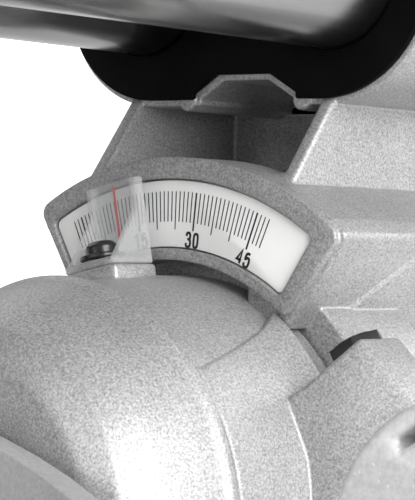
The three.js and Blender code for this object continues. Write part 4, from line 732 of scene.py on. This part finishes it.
FIGURES = {
    "0": [
        (0.5, 1), (0.1, 0.97), (0.02, 0.5), (0.1, 0.03), (0.5, 0), (0.9, 0.03), (0.98, 0.5), (0.9, 0.97),
        (0.5, 1)],
    "1": [(0.1, 0.78), (0.62, 1), (0.62, 0)],
    "3": [
        (0.05, 0.76), (0.1, 1), (0.85, 1.03), (0.92, 0.56), (0.38, 0.54), (0.98, 0.52), (1, 0), (0.1, -0.03),
        (0.02, 0.25)],
    "4": [(0.75, 0), (0.75, 1), (0, 0.27), (1.02, 0.27)],
    "5": [
        (0.92, 0.98), (0.14, 0.98), (0.06, 0.46), (0.4, 0.66), (1.02, 0.66), (1.02, -0.02), (0.1, -0.04),
        (0.02, 0.25)],
}
CURVED_FIGURES = {"0": 3, "1": 0, "3": 3, "4": 0, "5": 2}


def rounded_line(points, passes):
    """The line with its corners cut again and again, which rounds it."""
    for _ in range(passes):
        cut = [points[0]]
        for first, second in zip(points, points[1:]):
            cut += [tuple(first[i] + (second[i] - first[i]) * share for i in (0, 1))
                    for share in (0.25, 0.75)]
        points = [*cut, points[-1]]
    return points


def ribbon(shape, points, width, place):
    """A flat stroke along a line, in the (x, z) plane of a place."""
    line = [Vector(point) for point in points]
    closed = (line[0] - line[-1]).length < 1e-4
    sides = []
    for i, point in enumerate(line):
        back = point - line[i - 1] if i else line[0] - line[-2]
        ahead = line[i + 1] - point if i + 1 < len(line) else line[1] - line[0]
        if not closed:
            back = back if i else ahead
            ahead = ahead if i + 1 < len(line) else back
        before, after = back.normalized(), ahead.normalized()
        middle = (before + after).normalized()
        normal = Vector((-middle.y, middle.x))
        reach = width / 2 / max(0.45, normal.dot(Vector((-after.y, after.x))))
        sides.append([shape.verts.new(place @ Vector((spot.x, 0, spot.y))) for spot in (
            point + normal * reach, point - normal * reach)])
    for (a, b), (c, d) in zip(sides, sides[1:]):
        shape.faces.new((a, b, d, c))


def printed_number(shape, text, place, height, stroke):
    """Condensed figures in the (x, z) plane of a place, centred on it."""
    width = 0.36 * height
    step = width + 1.5 * stroke
    for i, figure in enumerate(text):
        left = (i - (len(text) - 1) / 2) * step - width / 2
        points = [(left + x * width, (y - 0.5) * (height - stroke)) for x, y in FIGURES[figure]]
        ribbon(shape, rounded_line(points, CURVED_FIGURES[figure]), stroke, place)


def bevel_scale_print():
    shape = bmesh.new()
    for mark in range(-2, 49):
        inner = 52.7 if mark % 5 == 0 else 54.2
        width = 0.38 if mark % 15 == 0 else 0.24
        turn = Matrix.Rotation(math.radians(mark + POINTER_TURN), 4, "Y")
        printed_mark(shape, turn @ Matrix.Translation((0, -0.12, (inner + 60) / 2)), 60 - inner, width)
    for number in (0, 15, 30, 45):
        turn = Matrix.Rotation(math.radians(number + POINTER_TURN), 4, "Y")
        printed_number(shape, str(number), turn @ Matrix.Translation((0, -0.14, 50.95)), 3.1, 0.52)
    return shape


make_piece("bevel_scale_print", bevel_scale_print(), ARM, "arm", "black_ink")


# Bevel hub, pointer, screw and stop bolts

def hub_barrel():
    profile = eased([
        (0, -52), (29.6, -51.2, 9), (35.2, -49.2, 3), (39.2, -43.5, 12), (40.7, -39.4, 12), (42.1, -35.2, 12),
        (43.1, -31.6, 1), (43.8, -30, 0.5), (43.8, -28.7, 0.5), (42.7, -27.6, 0.7), (43, -18), (43.5, -8),
        (43.9, -5), (43.9, 6, 0.5), (10.4, 6), (10.4, -34), (0, -34),
    ], False)
    return turned(profile, "Y", steps=160)


def stop_block(flip):
    """The block that holds a stop bolt, whose front face slopes back towards its ridge."""
    outline = [(34.8, 34.8), (42.6, 45.4), (57.2, 37.2), (45.4, 16), polar(38, 70.4), polar(38, 45)]
    fronts = [-10, -8, -6.6, -10, -10, -10]
    shape = bmesh.new()
    near = [shape.verts.new((x, y, z)) for (x, z), y in zip(outline, fronts)]
    far = [shape.verts.new((x, 3.5, z)) for x, z in outline]
    shape.faces.new(near)
    shape.faces.new(far)
    for i in range(len(near)):
        k = (i + 1) % len(near)
        shape.faces.new((near[i], near[k], far[k], far[i]))
    near_faces = [face for face in shape.faces if all(vert in near for vert in face.verts)]
    bmesh.ops.triangulate(shape, faces=near_faces)
    shape = softened(tidied(shape), 1.0, angle=20, segments=3)
    return swung(mirrored(shape), "Y", -46) if flip else shape


def lofted(rings):
    """A closed body through rings of (x, z) points, each at its own y."""
    shape = bmesh.new()
    made = [[shape.verts.new((x, y, z)) for x, z in outline] for y, outline in rings]
    shape.faces.new(made[0])
    shape.faces.new(made[-1])
    for near, far in zip(made, made[1:]):
        for i in range(len(near)):
            k = (i + 1) % len(near)
            shape.faces.new((near[i], near[k], far[k], far[i]))
    return tidied(shape)


def hub_web():
    """The raised wall between the barrel and the right stop block."""
    rings = []
    for y, radius, first in ((-27, 42.9, 35), (-14, 43.6, 29.5), (-5, 44.6, 25), (0.1, 46.2, 21)):
        outer = [polar(radius, first + (96 - first) * i / 32) for i in range(33)]
        rings.append((y, [*outer, polar(38, 96), polar(38, first)]))
    return softened(lofted(rings), 0.7, angle=40)


def hub_casting():
    neck = softened(block(-38, 38, -45.7, -2.5, -42, -3), 2.5, segments=4)
    pad = swung(softened(block(-8.6, 8.6, -14.6, -3, 38, 45.4), 0.8), "Y", POINTER_TURN)
    seat = swung(block(-8, 8, -14.3, -2.6, 45.4, 52), "Y", POINTER_TURN)
    barrel = combined(hub_barrel(), seat)
    return together(barrel, neck, pad, hub_web(), stop_block(False), stop_block(True))


def hex_bolt():
    head = prism(circle(0, 0, 4.6 / math.cos(math.radians(30)), 6), "Z", 0.6, 4.9)
    chamfer = turned([(0, -1), (20, -1), (20, 3.7), (4.8, 4.55), (4.1, 4.9), (0, 4.9)], "Z", steps=64)
    head = trimmed(combined(head, chamfer, operation="INTERSECT"), 0.18)
    thread = [(0, -18.6), (2.2, -18.6), (2.6, -18.2)]
    for turn in range(19):
        thread += [(2.6, -18 + turn), (3.0, -17.5 + turn)]
    bolt = together(head, turned([*thread, (3.0, 1.6), (0, 1.6)], "Z", steps=48))
    return shifted(bolt, 0, 0, -1.15)


def pan_screw():
    seat = 47.5
    head = turned(eased([
        (0, seat - 6), (1.6, seat - 6), (1.6, seat), (4.4, seat, 0.3), (4.4, seat + 0.9, 0.3),
        (3.2, seat + 1.0, 0.15), (3.2, seat + 2.5, 0.8), (2.2, seat + 3.5, 0.8), (0, seat + 3.5),
    ], False), "Z", (0, 0, 0), 64)
    slots = [prism(box(-a, a, -b, b), "Z", seat + 1.9, seat + 5) for a, b in ((1.9, 0.42), (0.42, 1.9))]
    return shifted(combined(head, *slots), 0.6, -9, 0)


def clear_pointer():
    """The clear pointer: foot with its boss, window, and a rib and gusset on both sides."""
    left, right = -5.2, 7.7
    foot = softened(block(left, right, -14, -2.9, 45.6, 47), 0.35, segments=3)
    boss = tube("Z", 3.0, 4.1, 44.4, 47.25, (0.6, -9, 0), 48, 0.25)
    window = softened(block(left, right, -4.6, -2.9, 45.7, 62.6), 0.3, segments=3)
    side = [(-14, 45.7), (-2.9, 45.7), (-2.9, 62.4), (-5.4, 62.4), (-5.4, 56.5)]
    gussets = [softened(prism(side, "X", near, far), 0.3)
               for near, far in ((left - 0.05, left + 1.25), (right - 1.5, right + 0.05))]
    return together(foot, boss, window, *gussets)


POINTER = HUB @ Matrix.Rotation(math.radians(POINTER_TURN), 4, "Y")
dress("bevel_pointer", clear_pointer(), POINTER)
dress("bevel_hub", hub_casting(), HUB)
dress("pointer_screw", pan_screw(), POINTER)
for node, angle, turn in (("stop_bolt_upright", 45, -45), ("stop_bolt_tilted", -91, -1)):
    across, up = polar(57, angle)
    leaning = Matrix.Rotation(math.radians(turn), 4, "Y")
    dress(node, hex_bolt(), HUB @ Matrix.Translation((across, -2.2, up)) @ leaning)

pointer_line = bmesh.new()
printed_mark(pointer_line, Matrix.Translation((0, -3.06, 57)), 10.4, 0.6)
make_piece("pointer_line", pointer_line, POINTER, "table", "red_ink")


# Screws, bolts and small repeated parts

def facing(x, y, z, axis="Z", flip=False):
    """A place at a point, whose Z runs along an axis or against it."""
    turn = {"X": Matrix.Rotation(math.radians(90), 4, "Y"), "Y": Matrix.Rotation(math.radians(-90), 4, "X"),
            "Z": Matrix.Identity(4)}[axis]
    back = Matrix.Rotation(math.pi, 4, "X") if flip else Matrix.Identity(4)
    return Matrix.Translation((x, y, z)) @ turn @ back


def button_screw(radius, socket=True):
    """A low round head standing on its seat, with a hexagon socket."""
    height = 0.55 * radius
    profile = eased([
        (0, -0.6), (radius, -0.6), (radius, 0.35 * height, 0.2 * radius), (0.6 * radius, height, 0.5 * radius),
        (0, height)], False)
    head = turned(profile, "Z", steps=28)
    if not socket:
        return head
    return combined(head, prism(circle(0, 0, 0.42 * radius, 6), "Z", 0.25 * height, height + 1))


def scattered(shape, places):
    """Copies of one shape at several places, as one mesh."""
    master = mesh_of(shape)
    result = bmesh.new()
    for place in places:
        copy = master.copy()
        copy.transform(place)
        result.from_mesh(copy)
        bpy.data.meshes.remove(copy)
    bpy.data.meshes.remove(master)
    return result


def raised_bars(count, first, step, size, corner=0.6):
    """Rounded bars in a row along Y: (x, y, z) sizes, starting at a point."""
    x, y, z = (length / 2 for length in size)
    bar = trimmed(block(-x, x, -y, y, -z, z), corner)
    return scattered(bar, [Matrix.Translation(Vector(first) + AXES["Y"] * (i * step)) for i in range(count)])


def screws(name, radius, places, frame_place, body, finish="black_steel", socket=True):
    """Button screws at several places, as one piece."""
    make_piece(name, scattered(button_screw(radius, socket), places), frame_place, body, finish)


# Blade, guard and head casting, in the head's frame

ARBOR = (0, -180, -54)
MOTOR_AT = (0, -152.77, -2.79)


def around(centre, radius, angle):
    """A point (y, z) at an angle from the head's back, in degrees."""
    turn = math.radians(angle)
    return centre[1] + radius * math.cos(turn), centre[2] + radius * math.sin(turn)


TEETH = 40
TOOTH_ANGLE = 360 / TEETH
TOOTH_LINE = (
    (0, 0), (0.13, 0.28), (0.16, 0.75), (0.3, 1), (0.45, 0.95), (0.62, 0.62), (0.9, 0.5), (0.97, 0.1))
TOOTH_REACH = 107.6
GULLET = 7
SLOTS = 5
SLOT_ANGLE = 360 / SLOTS


def saw_blade():
    outline = []
    for tooth in range(TEETH):
        for along, down in TOOTH_LINE:
            outline.append(around(ARBOR, TOOTH_REACH - GULLET * down, TOOTH_ANGLE * (tooth + along)))
    holes = [[around(ARBOR, 8.4, 360 * i / 48) for i in range(48)]]
    for slot in range(SLOTS):
        path = [(98 - 3.2 * k, SLOT_ANGLE * slot + 20 + 7 * math.sin(k / 2.2)) for k in range(7)]
        left = [around(ARBOR, radius, angle) for radius, angle in path]
        right = [around(ARBOR, radius, angle + 0.7) for radius, angle in reversed(path)]
        holes.append(left + right)
        holes.append(circle(*around(ARBOR, 74.5, SLOT_ANGLE * slot + 22), 2.2, 20))
    return prism(outline, "X", -0.8, 0.8, holes)


def blade_tips():
    tip = softened(block(-1.2, 1.2, -3.6, 0, -1.1, 1.1), 0.15, segments=1)
    places = []
    for tooth in range(TEETH):
        angle = TOOTH_ANGLE * tooth + 0.8
        y, z = around(ARBOR, TOOTH_REACH + 0.1, angle)
        places.append(Matrix.Translation((0, y, z)) @ Matrix.Rotation(math.radians(angle), 4, "X"))
    return scattered(tip, places)


def casing_arc(outer, inner, first, last):
    """A band round the arbor between two radii, from one whole degree to another."""
    return [
        *(around(ARBOR, outer, angle) for angle in range(first, last, 3)),
        *(around(ARBOR, inner, angle) for angle in range(last - 2, first - 1, -3)),
    ]


def casing_details():
    """Beads, ribs and a cover ring cast on both sides of the upper casing."""
    shapes = []
    for side in (-1, 1):
        near, far = sorted((side * 13.9, side * 15.3))
        shapes.append(trimmed(prism(casing_arc(118.8, 115, 8, 173), "X", near, far), 0.5))
        for angle in (36, 64, 92, 120, 148):
            rib = [around(ARBOR, radius, angle + turn) for radius, turn in (
                (112, -1.1), (112, 1.1), (66, 1.6), (66, -1.6))]
            shapes.append(trimmed(prism(rib, "X", near, far), 0.5))
        ring = casing_arc(60, 56.5, 12, 170)
        shapes.append(trimmed(prism(ring, "X", near, far), 0.5))
    return together(*shapes)


dress("saw_blade", saw_blade(), HEAD, 20)
make_piece("blade_tips", blade_tips(), HEAD, BODY_OF["saw_blade"], "zinc_steel")
make_piece("casing_details", casing_details(), HEAD, "head", "cast_silver")
screws("casing_screws", 3.4, [
    facing(-15.2, *around(ARBOR, 44, angle), "X", True) for angle in (30, 90, 150)], HEAD, "head")
access_ring = trimmed(tube("X", 24.4, 35, -15.4, -13.9, ARBOR), 0.4)
make_piece("access_ring", access_ring, HEAD, "head", "black_plastic")
screws("gear_case_screws", 3.2, [
    facing(65.3, *around(ARBOR, 43.5, angle), "X") for angle in (150, 195, 240, 285, 330)], HEAD, "head")


# Motor, battery and handle

def motor_shell():
    profile = eased([
        (35.4, 65.6), (38, 65.6, 0.6), (38, 160, 5), (31, 170, 3), (11, 170, 1), (11, 167.4), (29, 167.4),
        (35.4, 158),
    ])
    shell = turned([*profile, profile[0]], "X", MOTOR_AT, 96)
    ribs = []
    for index in range(18):
        rib = trimmed(block(84, 152, -1.2, 1.2, 37.2, 39.4), 0.6)
        ribs.append(shifted(swung(rib, "X", 20 * index + 10), *MOTOR_AT))
    slots = []
    for index in range(24):
        slot = prism(box(16.5, 27, -1.2, 1.2, 1.1), "X", 164, 173)
        slots.append(shifted(swung(slot, "X", 15 * index), *MOTOR_AT))
    return together(combined(shell, together(*slots)), *ribs)


def motor_band():
    """A raised soft band round the end of the motor housing."""
    profile = eased([(38.1, 153, 0.4), (39.6, 154, 0.8), (39.6, 159, 0.8), (38.1, 160.5, 0.4)])
    return turned([*profile, profile[0]], "X", MOTOR_AT, 96)


def battery_shell():
    body = softened(prism(box(80, 156, -108.5, -46.5, 9), "Z", -36, 58), 2.2, segments=3)
    neck = softened(prism(box(84, 152, -108.4, -50.5, 7), "Z", 57, 76), 1.6, segments=3)
    ridge = box(79.2, 156.8, -84, -45.7, 8)
    ridges = [trimmed(prism(ridge, "Z", z, z + 3), 0.7) for z in (-28, -20, -12)]
    return together(body, neck, *ridges)


def battery_details():
    """Side latches with ridges, and the charge gauge's frame on the back."""
    shapes = []
    for side in (-1, 1):
        x = 118 + side * 38
        near, far = sorted((x - side, x + side * 0.75))
        shapes.append(trimmed(block(near, far, -96, -66, 26, 48), 0.7))
        shapes.append(scattered(softened(block(-0.9, 0.9, -12, 12, -0.9, 0.9), 0.4, segments=1), [
            Matrix.Translation((x + side * 0.6, -81, 30 + 4.6 * i)) for i in range(4)]))
    shapes.append(trimmed(block(100, 136, -47, -45.8, 34, 48), 0.5))
    return together(*shapes)


def handle_details():
    """Soft ribbed pads on both sides of the grip."""
    shapes = []
    for side in (-1, 1):
        near, far = sorted((side * 15.6, side * 16.7))
        shapes.append(trimmed(prism(box(-228, -136, 125.5, 142, 7), "X", near, far), 0.5))
        shapes.append(raised_bars(15, (side * 16.7, -221, 133.8), 5.6, (1.3, 2.4, 11)))
    return together(*shapes)


dress("motor_housing", motor_shell(), HEAD)
make_piece("motor_band", motor_band(), HEAD, "head", "foot_rubber")
screws("motor_screws", 2.6, [
    facing(169.6, *around(MOTOR_AT, 30, angle), "X") for angle in (52, 142, 232, 322)], HEAD, "head")
dress("battery_pack", battery_shell(), HEAD)
make_piece("battery_details", battery_details(), HEAD, BODY_OF["battery_pack"], "red_plastic")
screws("charge_lights", 1.7, [
    facing(106 + 8 * i, -45.9, 41, "Y") for i in range(4)],
    HEAD, BODY_OF["battery_pack"], "clear_plastic", False)
make_piece("grip_pads", handle_details(), HEAD, "head", "foot_rubber")
screws("handle_screws", 3.2, [
    facing(-16, y, z, "X", True) for y, z in ((-234, 70), (-130, 70), (-228, 112), (-130, 112))], HEAD, "head")


# Bench parts: scale print, screws, caps and a nut

def mitre_scale_print():
    shape = bmesh.new()
    flat = Matrix.Rotation(math.radians(-90), 4, "X")
    for mark in range(-50, 51):
        length = 8 if mark % 5 == 0 else 5
        width = 0.6 if mark % 15 == 0 else 0.34
        turn = Matrix.Rotation(math.radians(-mark), 4, "Z")
        spot = turn @ Matrix.Translation((0, -(143 - length / 2), 22.84)) @ flat
        printed_mark(shape, spot, length, width)
    for number in (0, 15, 30, 45):
        for side in ((1,) if number == 0 else (-1, 1)):
            turn = Matrix.Rotation(math.radians(-side * number), 4, "Z")
            printed_number(shape, str(number), turn @ Matrix.Translation((0, -130.2, 22.86)) @ flat, 5, 0.62)
    return shape


def knob_cap(radius, depth):
    """A domed cap let into the end of a knob, with a ring groove round it."""
    profile = eased([
        (0, -0.5), (radius, -0.5), (radius, 0.5 * depth, 0.3), (radius * 0.86, depth, 0.6),
        (radius * 0.7, depth), (radius * 0.62, 0.55 * depth, 0.4), (radius * 0.5, 0.9 * depth, 0.5),
        (0, 1.15 * depth)], False)
    return turned(profile, "Z", steps=48)


make_piece("mitre_scale_print", mitre_scale_print(), BENCH, "base", "black_ink")
screws("kerf_screws", 2.6, [
    facing(x, y, 60.3) for x in (-10.4, 10.4) for y in (-280, -170, -60, 60)], BENCH, "table", "zinc_steel")
make_piece("lock_handle_cap", knob_cap(11, 1.2), BENCH @ facing(0, -363.4, 43, "Y", True),
           BODY_OF["mitre_lock_handle"], "red_plastic")
for node, side in (("fence_knob_right", 1), ("fence_knob_left", -1)):
    make_piece(node + "_cap", knob_cap(7, 1), BENCH @ facing(side * 196, 41.8, 82, "Y"), BODY_OF[node],
               "black_steel")
make_piece("rail_knob_cap", knob_cap(9, 1.1), ARM @ facing(73.4, 70, 102.8, "X"),
           BODY_OF["rail_lock_knob"], "black_steel")
make_piece("lever_nut", trimmed(prism(circle(0, 0, 9.5, 6), "Y", 58.2, 64), 0.5), HUB,
           BODY_OF["bevel_pivot_bolt"], "zinc_steel")
screws("bridge_screws", 3.6, [facing(x, 204, 127.2) for x in (-20, 20)], ARM, "arm")
screws("seal_screws", 2.4, [facing(x, 15.1, 123, "Y", True) for x in (-8, 8)], ARM, "arm")


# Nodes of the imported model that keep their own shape, with their sharp edges rounded

WIDTHS = {
    0.3: ["mitre_pointer"],
    0.4: ["kerf_plate"],
    0.5: ["lower_guard", "arbor_bolt", "inner_flange", "outer_flange"],
    0.6: ["dust_spout"],
    0.7: ["fence_casting"],
    0.8: [
        "turntable", "sliding_fence_left", "sliding_fence_right", "gear_cover", "chop_pin", "lock_off_button",
        "bevel_pivot_bolt"],
    1.0: [
        "battery_foot", "detent_lever", "fence_knob_left", "fence_knob_right", "rail_lock_knob",
        "head_latch_pin"],
    1.2: ["gear_case", "trigger", "mitre_lock_handle"],
    1.4: ["head_casting", "bevel_lock_lever", "rear_bridge"],
    1.6: ["base_casting", "head_yoke"],
    3.2: ["handle_left", "handle_right"],
}
EDGE_WIDTHS = {node: width for width, nodes in WIDTHS.items() for node in nodes}


def cleaned_copy(node):
    shape = bmesh.new()
    shape.from_mesh(frame["nodes"][node].data)
    bmesh.ops.remove_doubles(shape, verts=shape.verts, dist=0.000002)
    bmesh.ops.dissolve_limit(
        shape, angle_limit=math.radians(0.4), verts=shape.verts, edges=shape.edges, delimit=set())
    width = EDGE_WIDTHS.get(node)
    return softened(shape, width / 1000, angle=38, segments=3) if width else shape


def dress_rest():
    for node, held in frame["nodes"].items():
        if held.hide_render:
            continue
        dress(node, cleaned_copy(node), PACKED, 30)


dress_rest()


# Studio

def studio_world():
    world = bpy.data.worlds.new("studio")
    world.use_nodes = True
    bpy.context.scene.world = world
    tree = world.node_tree
    path = add_node(tree, "ShaderNodeLightPath").outputs
    direction = add_node(tree, "ShaderNodeTexCoord").outputs["Generated"]
    towards = add_node(tree, "ShaderNodeVectorMath", operation="DOT_PRODUCT")
    towards.inputs[1].default_value = (0.8, 0.55, 0.24)
    tree.links.new(direction, towards.inputs[0])
    level = times(tree, plus(tree, towards.outputs["Value"], 1), 0.5)
    mirror = ramp(tree, level, [(0.25, grey(0.12)), (0.55, grey(0.4)), (0.85, grey(1))])
    seen = mix_colors(tree, path["Is Camera Ray"], mirror, grey(1))
    clear = math_node(tree, "MAXIMUM", path["Is Glossy Ray"], path["Is Transmission Ray"])
    clear = math_node(tree, "MAXIMUM", clear, path["Is Camera Ray"])
    color = mix_colors(tree, clear, grey(0.3), seen)
    background = tree.nodes["Background"]
    tree.links.new(color, background.inputs["Color"])
    background.inputs["Strength"].default_value = 1


def area_light(name, at, towards, size, power):
    data = bpy.data.lights.new(name, "AREA")
    data.shape = "RECTANGLE"
    data.size, data.size_y = size
    data.energy = power
    lamp = bpy.data.objects.new(name, data)
    lamp.location = at
    lamp.rotation_mode = "QUATERNION"
    lamp.rotation_quaternion = (Vector(towards) - Vector(at)).to_track_quat("-Z", "Y")
    bpy.context.scene.collection.objects.link(lamp)


def studio_floor():
    shape = bmesh.new()
    bmesh.ops.create_grid(shape, x_segments=2, y_segments=2, size=6)
    mesh = mesh_of(shape, "studio_floor")
    made, tree, shader, place = blank_finish("studio_floor")
    shade = ramp(tree, noise(tree, place, 3), [(0.3, grey(0.84)), (0.7, grey(0.88))])
    tree.links.new(shade, shader.inputs["Base Color"])
    shader.inputs["Roughness"].default_value = 0.7
    shader.inputs["Emission Color"].default_value = grey(1)
    path = add_node(tree, "ShaderNodeLightPath")
    reach = add_node(tree, "ShaderNodeVectorMath", operation="LENGTH")
    tree.links.new(place, reach.inputs[0])
    rise = plus(tree, times(tree, reach.outputs["Value"], 0.35), 0.35)
    glow = times(tree, path.outputs["Is Camera Ray"], rise)
    tree.links.new(glow, shader.inputs["Emission Strength"])
    mesh.materials.append(made)
    floor = bpy.data.objects.new("studio_floor", mesh)
    floor.location.z = -0.0002
    bpy.context.scene.collection.objects.link(floor)


studio_world()
studio_floor()
area_light("key_light", (1.5, -0.35, 1.05), (0, 0.1, 0.1), (1.3, 1.7), 57)
area_light("front_light", (-0.2, -1.9, 0.9), (0, 0.1, 0.1), (1.2, 1.0), 30)
area_light("left_light", (-1.6, 0.5, 1.0), (0, 0.1, 0.1), (1.2, 1.2), 5)
area_light("back_light", (0.6, 1.7, 1.3), (0, 0.1, 0.1), (1.4, 0.9), 12)

bpy.context.scene.view_settings.view_transform = "Standard"
